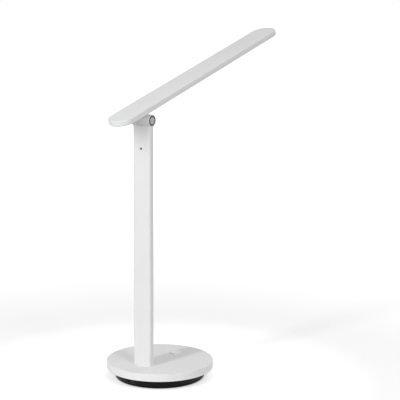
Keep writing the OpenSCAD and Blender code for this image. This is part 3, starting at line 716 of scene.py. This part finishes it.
@dataclass(frozen=True)
class Phosphor(Finish):
    """Yellow lamp chip, speckled with a darker tone."""

    def tone(self, tree: Tree) -> bpy.types.NodeSocket:
        """Return the chip's colour, in two tones of fine specks."""
        specks = tree.ranged(tree.noise(0.3, 4.0), 0.0, 1.0, 0.4, 0.6)
        return tree.mixed(specks, shaded(self.colour, 0.8), self.colour)


WHITE = (0.80, 0.80, 0.805)

FINISHES: dict[str, Finish] = {
    "white_shell": MouldedPlastic(WHITE, 0.55, spread=0.012, gloss=0.08),
    "button_white": MouldedPlastic((0.82, 0.82, 0.815), 0.28, spread=0.01, depth=0.001, wave=0.002,
                                   gloss=0.9),
    "black_shell": MouldedPlastic((0.0048, 0.0048, 0.005), 0.5, spread=0.15, gloss=0.07),
    "cap_black": MouldedPlastic((0.045, 0.045, 0.047), 0.45, spread=0.1, patch=4.0, gloss=0.25),
    "foot_rubber": CellFoam((0.022, 0.022, 0.022), 0.85, spread=0.2),
    "plain_steel": DrawnMetal((0.50, 0.50, 0.52), 0.35, spread=0.06, stretch=(8.0, 1.0, 1.0)),
    "screw_steel": DrawnMetal((0.60, 0.60, 0.61), 0.3, spread=0.05, patch=2.0, grain=0.2),
    "black_steel": DrawnMetal((0.05, 0.05, 0.052), 0.4, spread=0.1, patch=1.0, grain=0.2),
    "socket_steel": DrawnMetal((0.12, 0.12, 0.125), 0.35, spread=0.05, patch=4.0, grain=0.1,
                               stretch=(1.0, 9.0, 1.0)),
    "block_aluminium": DrawnMetal((0.74, 0.74, 0.75), 0.38, spread=0.05, stretch=(1.0, 1.0, 14.0)),
    "cap_aluminium": TurnedMetal((0.28, 0.28, 0.29), 0.42, spread=0.04, patch=4.0, grain=0.12, depth=0.002),
    "board_aluminium": DrawnMetal((0.80, 0.80, 0.79), 0.45, spread=0.04, stretch=(1.0, 10.0, 1.0)),
    "bush_brass": DrawnMetal((0.72, 0.52, 0.22), 0.3, spread=0.06, patch=3.0, grain=0.15),
    "battery_wrap": MouldedPlastic((0.08, 0.26, 0.52), 0.3, spread=0.06, patch=14.0, wave=0.06),
    "grey_foam": CellFoam((0.32, 0.32, 0.33), 0.9, spread=0.1),
    "board_green": BoardLacquer((0.012, 0.15, 0.05), 0.35, spread=0.1),
    "chip_black": MouldedPlastic((0.02, 0.02, 0.021), 0.5, spread=0.15, patch=2.0, grain=0.15),
    "connector_nylon": MouldedPlastic((0.78, 0.76, 0.68), 0.45, spread=0.03, patch=3.0),
    "lead_sheath": MouldedPlastic((0.045, 0.045, 0.047), 0.5, spread=0.15, patch=6.0, grain=0.2),
    "opal_panel": OpalPlastic((0.86, 0.86, 0.84), 0.4, spread=0.01, patch=60.0),
    "reflector_white": MouldedPlastic((0.88, 0.88, 0.88), 0.35, spread=0.01),
    "led_phosphor": Phosphor((0.82, 0.60, 0.12), 0.35, spread=0.1),
}


# ---- Sub-assemblies ----

@dataclass
class Assembly:
    """What each sub-assembly is given: the finished materials by slot.

    Attributes:
        materials: material of each of the record's slots.
    """

    materials: dict[str, bpy.types.Material]

    def finish(self, name: str, skin: Skin, body: Body, slot: str, *nodes: str, adds: Sequence[Skin] = (),
               cuts: Sequence[Skin] = (), wears: Optional[str] = None) -> None:
        """Make a piece from a skin, carve it and hand it over.

        Args:
            name: the piece's name.
            skin: its main form.
            body: the body that it moves with.
            slot: the record's material slot.
            nodes: the frame's nodes that it stands for.
            adds: skins that are added to it.
            cuts: skins that are then cut out of it.
            wears: name of its finish, where it isn't the slot's.
        """
        piece = make_object(name, skin)
        carve(piece, Carving.ADD, *adds)
        carve(piece, Carving.REMOVE, *cuts)
        hand_over(piece, body, slot, self.materials[wears or slot], *nodes)


@dataclass
class Base(Assembly):
    """White cover on a black tray, with the rubber foot and the charging socket."""

    cover_r: float = 60.0
    cover_low: float = 11.2
    cover_wall: float = 2.4
    cover_edge: float = 0.8
    slide_r: float = 56.0
    button_hole_r: float = 6.3
    column_way: Place = (10.0, 2.9)
    post_r: float = 3.4
    post_bore_r: float = 1.5
    post_bored: float = 13.2
    board_post_r: float = 2.2
    board_bore_r: float = 1.0
    board_bored: float = 14.2
    board_screws: Place = (16.0, 9.5)
    screw_ring_r: float = 38.0
    screw_head_r: float = 3.0
    screw_way_r: float = 1.7
    ballast_top: float = 8.2
    board_top: float = 11.2
    tray_foot_r: float = 50.5
    tray_rim_r: float = 56.2
    tray_low: float = 0.5
    tray_edge: float = 2.4
    tray_floor: float = 2.7
    tray_floor_r: float = 48.7
    tray_wall_r: float = 54.4
    ring_r: float = 57.3
    ring_bore_r: float = 55.7
    ring_low: float = 12.8
    ring_high: float = 14.2
    pad_r: float = 47.4
    pad_seat_z: float = 1.2
    groove: Place = (45.2, 46.4)
    groove_depth: float = 0.3
    port_z: float = 5.9
    port_mouth_y: float = 51.76
    port_way_y: float = 47.6
    port_gap: float = 0.25
    socket_half_x: float = 4.45
    socket_half_z: float = 1.6
    socket_wall: float = 0.3
    socket_back: float = 1.0
    socket_depth: float = 7.3

    def cover(self) -> Skin:
        """Return the cover's shell, a loop of rings from the button's hole round the edge and back inside.

        A ring's centre slides from the cover's middle to the button's as the ring shrinks from slide_r to
        the hole.
        """
        under = COVER_TOP - self.cover_wall
        hole, inner = self.button_hole_r, self.cover_r - self.cover_wall
        profile = rounded([(hole, COVER_TOP, 0.2), (self.cover_r, COVER_TOP, self.cover_edge),
                           (self.cover_r, self.cover_low, 0.25), (inner, self.cover_low, 0.25),
                           (inner, under, 0.4), (hole, under, 0.1)], closed=True)
        rings = Outline.circle(ROUND).rings(profile)
        slide = np.clip((self.slide_r - profile[:, 0]) / (self.slide_r - hole - 0.3), 0, 1)
        rings[:, :, 1] += BUTTON_Y * slide[:, None]
        return Skin.from_rings(rings, End.LOOP, End.LOOP)

    def screw_places(self) -> list[Place]:
        """Return where the four base screws stand."""
        turns = np.radians([45, 135, 225, 315])
        return [(self.screw_ring_r * math.cos(t), self.screw_ring_r * math.sin(t)) for t in turns]

    def posts(self) -> Skin:
        """Return the cover's posts: four for the base screws and four for the control board."""
        high = COVER_TOP - self.cover_wall + 0.5
        board_x, board_y = self.board_screws
        boards = [(x, BUTTON_Y + y) for x in (-board_x, board_x) for y in (-board_y, board_y)]
        return joined([
            post_skin(self.post_r, self.post_bore_r, (self.ballast_top, self.post_bored, high), (0.2, 0.3),
                      48, self.screw_places()),
            post_skin(self.board_post_r, self.board_bore_r, (self.board_top, self.board_bored, high),
                      (0.15, 0.2), 32, boards)])

    def tray(self) -> Skin:
        """Return the tray: recessed underside, rounded foot, flaring wall and ring inside the cover."""
        seat = self.pad_r + 0.05
        return turned_skin([
            (0, self.pad_seat_z, 0), (seat, self.pad_seat_z, 0.1), (seat, self.tray_low, 0.15),
            (self.tray_foot_r, self.tray_low, self.tray_edge - 0.02),
            (self.tray_foot_r, self.tray_low + self.tray_edge, 0.8), (self.tray_rim_r, self.cover_low, 0.2),
            (self.ring_r, self.cover_low, 0.15), (self.ring_r, self.ring_high, 0.3),
            (self.ring_bore_r, self.ring_high, 0.3), (self.ring_bore_r, self.ring_low, 0),
            (self.tray_wall_r, self.cover_low, 0.2), (self.tray_floor_r, self.tray_floor, 0.5),
            (0, self.tray_floor, 0)], ROUND)

    def tray_cuts(self) -> list[Skin]:
        """Return what is cut out of the tray: the screws' countersinks and the way in to the socket."""
        low, high = self.pad_seat_z, self.tray_floor + 0.5
        head, way = self.screw_head_r, self.screw_way_r
        sink = [(0, low - 0.5, 0), (head, low - 0.5, 0), (head, low, 0), (way, low + head - way, 0),
                (way, high, 0), (0, high, 0)]
        sinks = joined([turned_skin(sink, 48, place) for place in self.screw_places()])
        port = block_skin(self.socket_half_x + self.port_gap, self.socket_half_z + self.port_gap,
                          self.socket_half_z, 0.0, 9.0)
        return [sinks, port.placed(facing_back(self.port_z, self.port_way_y))]

    def socket(self) -> Skin:
        """Return the socket: a round-ended metal sleeve, closed at its inner end, and its contact tongue."""
        deep, outer = -self.socket_depth, self.socket_half_z
        inner, back = outer - self.socket_wall, deep + self.socket_back
        profile = rounded([(0.4, deep, 0), (outer, deep, 0.25), (outer, 0, 0.12), (inner, 0, 0.12),
                           (inner, back, 0), (0.4, back, 0)])
        sleeve = capped_skin(Outline.block(self.socket_half_x, outer, outer, 12), profile)
        tongue = block_skin(3.25, 0.35, 0.3, back - 0.1, -1.0, 0.12)
        return (sleeve + tongue).placed(facing_back(self.port_z, self.port_mouth_y))

    def pad(self) -> Skin:
        """Return the rubber pad, with a shallow groove near its rim."""
        (start, end), deep = self.groove, self.groove_depth
        return turned_skin([(0, 0, 0), (start, 0, 0.15), (start + deep, deep, 0.15), (end - deep, deep, 0.15),
                            (end, 0, 0.15), (self.pad_r, 0, 0.35), (self.pad_r, self.pad_seat_z, 0),
                            (0, self.pad_seat_z, 0)], ROUND)

    def build(self) -> None:
        """Make the base's pieces."""
        column_way = block_skin(*self.column_way, 1.4, COVER_TOP - 3.0, COVER_TOP + 1.0,
                                centre=(0.0, COLUMN_Y))
        self.finish("cover_moulding", self.cover(), Body.STAND, "white_shell", "base_cover",
                    adds=[self.posts()], cuts=[column_way])
        self.finish("tray_moulding", self.tray(), Body.STAND, "black_shell", "base_tray",
                    cuts=self.tray_cuts())
        self.finish("foot_ring_pad", self.pad(), Body.STAND, "foot_rubber", "foot_pad")
        self.finish("socket_sleeve", self.socket(), Body.STAND, "socket_steel", "charge_socket")


@dataclass
class PushButton(Assembly):
    """Round push button with a low dome, its flange under the cover and its stem."""

    radius: float = 6.1
    low: float = 14.9
    stem_r: float = 1.7
    flange_r: float = 7.2
    flange_low: float = 16.25
    flange_high: float = 17.15
    rim: float = 20.3
    rim_edge: float = 0.5
    crown: float = 0.5
    dome_r: float = 4.9

    def build(self) -> None:
        """Make the button.

        Its top is part of a sphere of radius R = (r² + crown²) / (2 crown), read at evenly spaced radii.
        """
        sphere = (self.radius ** 2 + self.crown ** 2) / (2 * self.crown)
        radii = np.linspace(self.dome_r, 0, 9)
        dome = self.rim + self.crown - sphere + np.sqrt(sphere ** 2 - radii ** 2)
        corners = [(0, self.low, 0), (self.stem_r, self.low, 0.2), (self.stem_r, self.flange_low, 0.15),
                   (self.flange_r, self.flange_low, 0.15), (self.flange_r, self.flange_high, 0.15),
                   (self.radius, self.flange_high, 0.1), (self.radius, self.rim, self.rim_edge)]
        corners += [(float(r), float(z), 0) for r, z in zip(radii, dome)]
        cap = turned_skin(corners, FINE, (0.0, BUTTON_Y))
        self.finish("button_dome", cap, Body.BUTTON, "button_white", "button_cap")


AXIS_RIGHT = Placement(((0, 0, 1), (1, 0, 0), (0, 1, 0)), (0.0, COLUMN_Y, HINGE_Z))
AXIS_LEFT = Placement(((0, 0, -1), (-1, 0, 0), (0, 1, 0)), (0.0, COLUMN_Y, HINGE_Z))
HEAD_PLACE = Placement(((1, 0, 0), (0, math.cos(TILT), math.sin(TILT)),
                        (0, -math.sin(TILT), math.cos(TILT))), (0.0, COLUMN_Y, HINGE_Z))
UNDERSIDE = HEAD_PLACE.lifted(10.7)


def facing_back(height: float, depth: float) -> Placement:
    """Return the placement whose Z points to the lamp's rear, at a height and a distance along Y."""
    return Placement(((-1, 0, 0), (0, 0, 1), (0, 1, 0)), (0.0, depth, height))


@dataclass
class Column(Assembly):
    """Flat upright column that ends in the hinge barrel with its two ears."""

    width: float = 23.2
    depth: float = 9.0
    edge: float = 3.0
    wall: float = 1.6
    barrel_r: float = 6.6
    barrel_end: float = 12.2
    barrel_edge: float = 0.6
    slot_half: float = 3.3
    slot_r: float = 7.1
    web_x: float = 4.7
    pin_way_r: float = 3.05
    washer_r: float = 5.2
    cap_r: float = 5.75
    lead_x: float = 7.1
    lead_way_r: float = 1.4
    lead_way_drop: float = 9.2
    hole_drop: float = 30.6
    hole_r: float = 1.4

    def bar(self) -> Skin:
        """Return the column's bar, a rectangle with rounded corners carried up into the barrel."""
        flat = Outline.block(self.width / 2, self.depth / 2, self.edge, 10, (0.0, COLUMN_Y))
        heights = np.linspace(COVER_TOP, HINGE_Z - 2.0, 16)
        profile = np.stack([np.full(len(heights), self.edge), heights], 1)
        return capped_skin(flat, profile)

    def barrel(self) -> Skin:
        """Return the hinge barrel, a rod along X with softly broken edges."""
        end = self.barrel_end
        return rod_skin(self.barrel_r, -end, end, HINGE_SIDES, self.barrel_edge).placed(AXIS_RIGHT)

    def cuts(self) -> list[Skin]:
        """Return what is cut out of the column: hollow, slot, bores, cap seats and the small rear hole."""
        half, wall = self.slot_half, self.wall
        hollow = block_skin(self.width / 2 - wall, self.depth / 2 - wall, self.edge - wall, COVER_TOP - 1,
                            HINGE_Z - self.slot_r - 1.5, centre=(0.0, COLUMN_Y))
        saddle = rod_skin(self.slot_r, -half, half, HINGE_SIDES)
        slot = block_skin(half, 14.0, 0.02, 0, 14)
        bore = rod_skin(self.pin_way_r, -5.0, 5.0, 64)
        mouth, outside, bevel = self.barrel_end, self.barrel_end + 1.0, self.cap_r + 0.1
        seat = turned_skin([(0, self.web_x, 0), (self.washer_r, self.web_x, 0.2), (self.washer_r, CAP_X, 0),
                            (self.cap_r, CAP_X, 0), (self.cap_r, mouth - 0.1, 0), (bevel, mouth, 0),
                            (bevel, outside, 0), (0, outside, 0)])
        lead_way = rod_skin(self.lead_way_r, -self.lead_way_drop, 0, 32)
        wide = self.hole_r + 0.2       # the cutter widens only beyond the column's rear face
        hole = turned_skin([(0, 0, 0), (self.hole_r, 0, 0), (self.hole_r, 4.7, 0), (wide, 4.9, 0),
                            (wide, 6, 0), (0, 6, 0)], 48)
        return [hollow, saddle.placed(AXIS_RIGHT), slot.placed(Placement(origin=(0.0, COLUMN_Y, HINGE_Z))),
                bore.placed(AXIS_RIGHT), seat.placed(AXIS_RIGHT), seat.placed(AXIS_LEFT),
                lead_way.placed(Placement(origin=(self.lead_x, COLUMN_Y, HINGE_Z))),
                hole.placed(facing_back(HINGE_Z - self.hole_drop, COLUMN_Y))]

    def build(self) -> None:
        """Make the column."""
        self.finish("column_moulding", self.bar(), Body.STAND, "white_shell", "column_shell",
                    adds=[self.barrel()], cuts=self.cuts())


@dataclass
class Hinge(Assembly):
    """Dark caps with grey discs in the ends of the barrel, and the knuckle between its ears."""

    cap_r: float = 5.7
    recess_r: float = 1.2
    recess_depth: float = 0.75
    disc_x: float = 11.8
    disc_r: float = 4.0
    disc_t: float = 0.4
    knuckle_r: float = 6.5
    knuckle_half: float = 3.0
    knuckle_edge: float = 0.35
    neck_half: float = 4.6
    plate_half: Place = (12.2, 22.0)
    plate_y: float = 2.0
    plate_z: float = 13.7
    plate_t: float = 1.6
    bush_r: float = 3.0
    lead_r: float = 1.35
    screw_r: float = 1.1

    def caps(self) -> None:
        """Make both caps and both discs."""
        recess = CAP_X + self.recess_depth
        cap = turned_skin([(0, recess, 0), (self.recess_r, recess, 0), (self.recess_r, CAP_X, 0.1),
                           (self.cap_r, CAP_X, 0.2), (self.cap_r, self.disc_x, 0.3), (0, self.disc_x, 0)])
        face = self.disc_x + self.disc_t
        disc = turned_skin([(0, self.disc_x, 0), (self.disc_r, self.disc_x, 0),
                            (self.disc_r, face, 0.12), (0, face, 0)])
        for side, place in (("left", AXIS_LEFT), ("right", AXIS_RIGHT)):
            self.finish(f"cap_{side}_ring", cap.placed(place), Body.STAND, "black_shell", f"hinge_cap_{side}",
                        wears="cap_black")
            self.finish(f"cap_{side}_face", disc.placed(place), Body.STAND, "cap_aluminium",
                        f"cap_disc_{side}")

    def knuckle(self) -> None:
        """Make the knuckle: a short rod on the axis, its neck and the plate inside the head."""
        half, lead, along_x = self.knuckle_half, self.lead_r, Placement(AXIS_RIGHT.turn)
        rod = rod_skin(self.knuckle_r, -half, half, HINGE_SIDES, self.knuckle_edge).placed(along_x)
        neck = block_skin(half, self.neck_half, 0.4, 0, self.plate_z + self.plate_t / 2)
        plate = block_skin(*self.plate_half, 1.5, self.plate_z, self.plate_z + self.plate_t, 0.2,
                           (0.0, self.plate_y))
        bores = [rod_skin(self.bush_r, 0.9, 4, 64).placed(Placement(place.turn))
                 for place in (AXIS_RIGHT, AXIS_LEFT)]
        across = rod_skin(lead, -lead, 1.4, 32).placed(along_x)
        upward = rod_skin(lead, 0, 16, 32)
        way = block_skin(lead, 10.5, 0.02, self.plate_z - 0.5, self.plate_z + 3, centre=(0.0, -10.4))
        holes = joined([rod_skin(self.screw_r, 12, 16, 24, centre=place) for place in KNUCKLE_SCREWS])
        self.finish("knuckle_moulding", rod.placed(HEAD_PLACE), Body.HEAD, "white_shell", "hinge_knuckle",
                    adds=[form.placed(HEAD_PLACE) for form in (neck, plate)],
                    cuts=[form.placed(HEAD_PLACE) for form in (*bores, across, upward, way, holes)])

    def build(self) -> None:
        """Make the hinge's pieces."""
        self.caps()
        self.knuckle()


@dataclass
class Head(Assembly):
    """Slim head: the cover, the frame that closes it from below, and the diffuser."""

    half_width: float = 15.5
    front: float = -253.8
    back: float = 32.7
    thick: float = 7.0
    crown: float = 0.45
    crown_width: float = 5.0
    crown_r: float = 55.0
    wall: float = 1.2
    upper_edge: float = 1.2
    lower_edge: float = 1.3
    boss_r: float = 2.3
    boss_low: float = 4.6
    boss_bored: float = 6.3
    frame_r: float = 14.2
    frame_low: float = 0.2
    frame_high: float = 1.5
    rib_high: float = 2.7
    rib_t: float = 0.9
    slide_start: float = 13.0
    slide_run: float = 3.4
    panel_low: float = 0.3
    panel_high: float = 2.3
    window_front: float = -246.8
    window_back: float = -33.2
    window_r: float = 9.2

    def cover(self) -> Skin:
        """Return the cover: rings from the middle of its top, over the edges, and inside to its ceiling.

        Its top is flat in the middle and falls by the crown towards the edges, round a wide arc.
        """
        half, inner = self.half_width, self.half_width - self.wall
        ceiling = self.thick - self.wall
        bend = half - self.crown_width
        profile = rounded([(4, self.thick, 0), (bend, self.thick, self.crown_r),
                           (half, self.thick - self.crown, self.upper_edge), (half, 0, self.lower_edge),
                           (inner, 0, 0.15), (inner, ceiling, 0.4), (4, ceiling, 0)], per_quarter=8)
        return capped_skin(Outline.strip(self.front, self.back), profile)

    def bosses(self) -> Skin:
        """Return the four bosses that take the knuckle's screws."""
        heights = (self.boss_low, self.boss_bored, self.thick - self.wall + 0.3)
        return post_skin(self.boss_r, 1.0, heights, (0, 0.2), 32, KNUCKLE_SCREWS)

    def frame(self) -> Skin:
        """Return the frame: a loop of rings from its outline, over its rib, to the window and back below.

        The rings at the rim lie round the head's own centres, and those at the window round the window's.
        """
        rim, low, rib = self.frame_r, self.frame_low, self.rib_high
        profile = rounded([(rim, low, 0.15), (rim, rib, 0.2), (rim - self.rib_t, rib, 0.2),
                           (rim - self.rib_t, self.frame_high, 0.1), (self.window_r, self.frame_high, 0.1),
                           (self.window_r, low, 0.2)], closed=True)
        outer = Outline.strip(self.front, self.back).rings(profile)
        inner = Outline.strip(self.window_front, self.window_back).rings(profile)
        share = np.clip((self.slide_start - profile[:, 0]) / self.slide_run, 0, 1)[:, None, None]
        return Skin.from_rings(outer * (1 - share) + inner * share, End.LOOP, End.LOOP)

    def diffuser(self) -> Skin:
        """Return the diffuser: a strip in the window, with a wider rim above it."""
        face, rim = self.window_r - 0.1, self.window_r + 1.3
        low, seat, high = self.panel_low, self.frame_high, self.panel_high
        profile = rounded([(4, low, 0), (face, low, 0.3), (face, seat, 0), (rim, seat, 0.1), (rim, high, 0.2),
                           (4, high, 0)])
        return capped_skin(Outline.strip(self.window_front, self.window_back), profile)

    def build(self) -> None:
        """Make the head's pieces."""
        neck_way = block_skin(3.0, 4.9, 0.3, -0.5, 2.0)
        self.finish("head_moulding", self.cover().placed(UNDERSIDE), Body.HEAD, "white_shell", "head_cover",
                    adds=[self.bosses().placed(UNDERSIDE)])
        self.finish("head_underframe", self.frame().placed(UNDERSIDE), Body.HEAD, "white_shell", "head_frame",
                    cuts=[neck_way.placed(UNDERSIDE)])
        self.finish("diffuser_panel", self.diffuser().placed(UNDERSIDE), Body.HEAD, "opal_panel", "diffuser")


# ---- Studio ----

@dataclass(frozen=True)
class Softbox:
    """Area lamp that looks at the object.

    Attributes:
        azimuth: direction that the light comes from, anticlockwise from +X, degrees.
        distance: horizontal distance from the lamp, metres.
        height: height above the table, metres.
        width: its width, metres.
        tall: its height, metres.
        watts: power.
    """

    azimuth: float
    distance: float
    height: float
    width: float
    tall: float
    watts: float

    def build(self, name: str, target: Sequence[float]) -> None:
        """Make the lamp and turn it to a point."""
        data = bpy.data.lights.new(name, "AREA")
        data.shape = "RECTANGLE"
        data.size, data.size_y = self.width, self.tall
        data.energy = self.watts
        lamp = new_object(name, data)
        turn = math.radians(self.azimuth)
        place = np.array([self.distance * math.cos(turn), self.distance * math.sin(turn), self.height])
        lamp.matrix_world = looking(place, np.array(target) - place)
        lamp.visible_camera = False


def looking(place: np.ndarray, ahead: np.ndarray, up: Sequence[float] = (0.0, 0.0, 1.0)) -> Matrix:
    """Return the matrix of a camera or lamp at a place that looks ahead.

    Args:
        place: where it stands, metres.
        ahead: the direction that it looks in.
        up: the direction that is up in its picture.

    Returns:
        The matrix whose columns are right, up, back and the place.
    """
    back = -ahead / np.linalg.norm(ahead)
    right = np.cross(np.array(up), back)
    right /= np.linalg.norm(right)
    columns = np.eye(4)
    columns[:3, 0], columns[:3, 1], columns[:3, 2], columns[:3, 3] = right, np.cross(back, right), back, place
    return Matrix(columns.tolist())


@dataclass(frozen=True)
class Studio:
    """Camera, lamps, world and floor.

    Attributes:
        camera_at: the camera's place, metres.
        camera_ahead: the direction that it looks in.
        camera_up: the direction that is up in its picture.
        lens: focal length on a 36 mm frame.
        ambient: strength of the even light from all round.
        near_grey: the floor's grey near the lamp.
        far_grey: its grey farther out.
        grey_zone: distances between which the one turns into the other, metres.
        floor_glow: strength of the floor's glow near the lamp; it grows to 1 farther out.
        painted_foot_shade_zone: distances between which the glow starts, metres. Under the foot the floor has
            no
        glow, so the rendered shadow there is deepened by painted shade.
        glow_zone: distances between which it grows, metres.
        aim: the point that the lamps look at, metres.
        softboxes: the lamps.
    """

    camera_at: Triple = (-0.800215, 1.059500, 0.417558)
    camera_ahead: Triple = (0.56818, -0.80705, -0.16076)
    camera_up: Triple = (0.09705, -0.12827, 0.98698)
    lens: float = 109.37
    ambient: float = 0.43
    near_grey: float = 0.90
    far_grey: float = 0.54
    grey_zone: Place = (0.10, 0.25)
    floor_glow: float = 0.5
    painted_foot_shade_zone: Place = (0.047, 0.0505)
    glow_zone: Place = (0.3, 1.2)
    aim: Triple = (0.0, 0.0, 0.18)
    softboxes: tuple[Softbox, ...] = (
        Softbox(83.4, 1.3, 0.73, 0.16, 0.9, 8.9),
        Softbox(156.0, 1.0, 0.8, 0.2, 0.2, 3.0),
        Softbox(112.0, 3.0, 0.52, 2.0, 2.0, 9.5),
        Softbox(270.0, 2.5, 1.85, 1.5, 1.5, 14.0),
        Softbox(248.0, 2.0, 0.45, 1.2, 1.2, 4.0),
    )

    def camera(self) -> None:
        """Make the camera at the photograph's viewing angle."""
        data = bpy.data.cameras.new("camera")
        data.sensor_width = 36.0
        data.lens = self.lens
        data.clip_start, data.clip_end = 0.01, 100.0
        made = new_object("camera", data)
        made.matrix_world = looking(np.array(self.camera_at), np.array(self.camera_ahead), self.camera_up)
        bpy.context.scene.camera = made

    def seen(self, nodes: bpy.types.Nodes, links: bpy.types.NodeLinks) -> bpy.types.NodeSocket:
        """Return 1 for rays from the camera, from a glossy surface or through glass, and 0 for others."""
        path = nodes.new("ShaderNodeLightPath")
        total = path.outputs["Is Camera Ray"]
        for name in ("Is Glossy Ray", "Is Transmission Ray"):
            add = nodes.new("ShaderNodeMath")
            add.operation = "MAXIMUM"
            links.new(total, add.inputs[0])
            links.new(path.outputs[name], add.inputs[1])
            total = add.outputs[0]
        return total

    def world(self) -> None:
        """Make the world: even light, white where it is seen."""
        world = bpy.data.worlds.new("world")
        world.use_nodes = True
        nodes, links = world.node_tree.nodes, world.node_tree.links
        background = nodes["Background"]
        background.inputs["Color"].default_value = (1.0, 1.0, 1.0, 1.0)
        strength = nodes.new("ShaderNodeMapRange")
        strength.inputs["To Min"].default_value = self.ambient
        strength.inputs["To Max"].default_value = 1.0
        links.new(self.seen(nodes, links), strength.inputs["Value"])
        links.new(strength.outputs["Result"], background.inputs["Strength"])
        bpy.context.scene.world = world

    def floor(self) -> None:
        """Make the floor: a pale disc that takes the lamp's shadow and whitens with the distance from it.

        It is paler near the lamp, whose sides it lights. Its glow, which only the camera and reflections see,
        starts at the edge of the foot and grows with the distance from the lamp. Under the foot it has no
        glow, so the rendered shadow there is deepened by painted shade.
        """
        radii = np.array([[400.0, 0.0], [2000.0, 0.0], [30000.0, 0.0]])
        rings = Outline.circle(ROUND).rings(radii)
        here = np.arange(len(radii) * ROUND).reshape(-1, ROUND)
        beside = np.roll(here, -1, 1)
        quads = np.stack([here[:-1], beside[:-1], beside[1:], here[1:]], -1).reshape(-1, 4)
        made = make_object("floor", Skin(rings.reshape(-1, 3), quads.tolist() + [here[0].tolist()]))
        tree = Tree("pale_floor")
        tree.set(Roughness=0.9, Specular_IOR_Level=0.1)
        away = tree.radius(tree.place)
        farther = tree.ranged(away, 0.0, 1.0, *self.grey_zone)
        shade = tree.maths("ADD", farther, tree.ranged(tree.noise(4.0), -0.01, 0.01))
        tree.join(tree.mixed(shade, (self.near_grey,) * 3, (self.far_grey,) * 3), "Base Color")
        # the floor has no glow under the foot: painted shade that deepens the rendered shadow there
        glow = tree.maths("MULTIPLY", tree.ranged(away, 0.0, 1.0, *self.painted_foot_shade_zone),
                          tree.ranged(away, self.floor_glow, 1.0, *self.glow_zone))
        tree.join(tree.maths("MULTIPLY", glow, self.seen(tree.nodes, tree.links)), "Emission Strength")
        tree.set(Emission_Color=(1.0, 1.0, 1.0, 1.0))
        made.data.materials.append(tree.material)

    def build(self) -> None:
        """Make everything round the lamp."""
        self.camera()
        self.world()
        self.floor()
        for number, softbox in enumerate(self.softboxes):
            softbox.build(f"softbox_{number}", self.aim)
        settings = bpy.context.scene.view_settings
        settings.view_transform = "Standard"


def dress_nodes(materials: dict[str, bpy.types.Material]) -> None:
    """Give each of the frame's nodes the material of its slot, which its first material is named by."""
    for name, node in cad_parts.items():
        slot = node.data.materials[0].name.split(".")[0]
        node.data.materials[0] = materials[slot]
        log.info("%s wears %s", name, slot)


def main() -> None:
    """Build the studio and the lamp."""
    logging.basicConfig(level=logging.INFO, format="%(message)s")
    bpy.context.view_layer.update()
    Studio().build()
    materials = {slot: finish.material(f"{slot}_finish") for slot, finish in FINISHES.items()}
    dress_nodes(materials)
    for assembly in (Base, PushButton, Column, Hinge, Head):
        assembly(materials).build()
        log.info("%s is done", assembly.__name__)


if __name__ == "__main__":
    main()
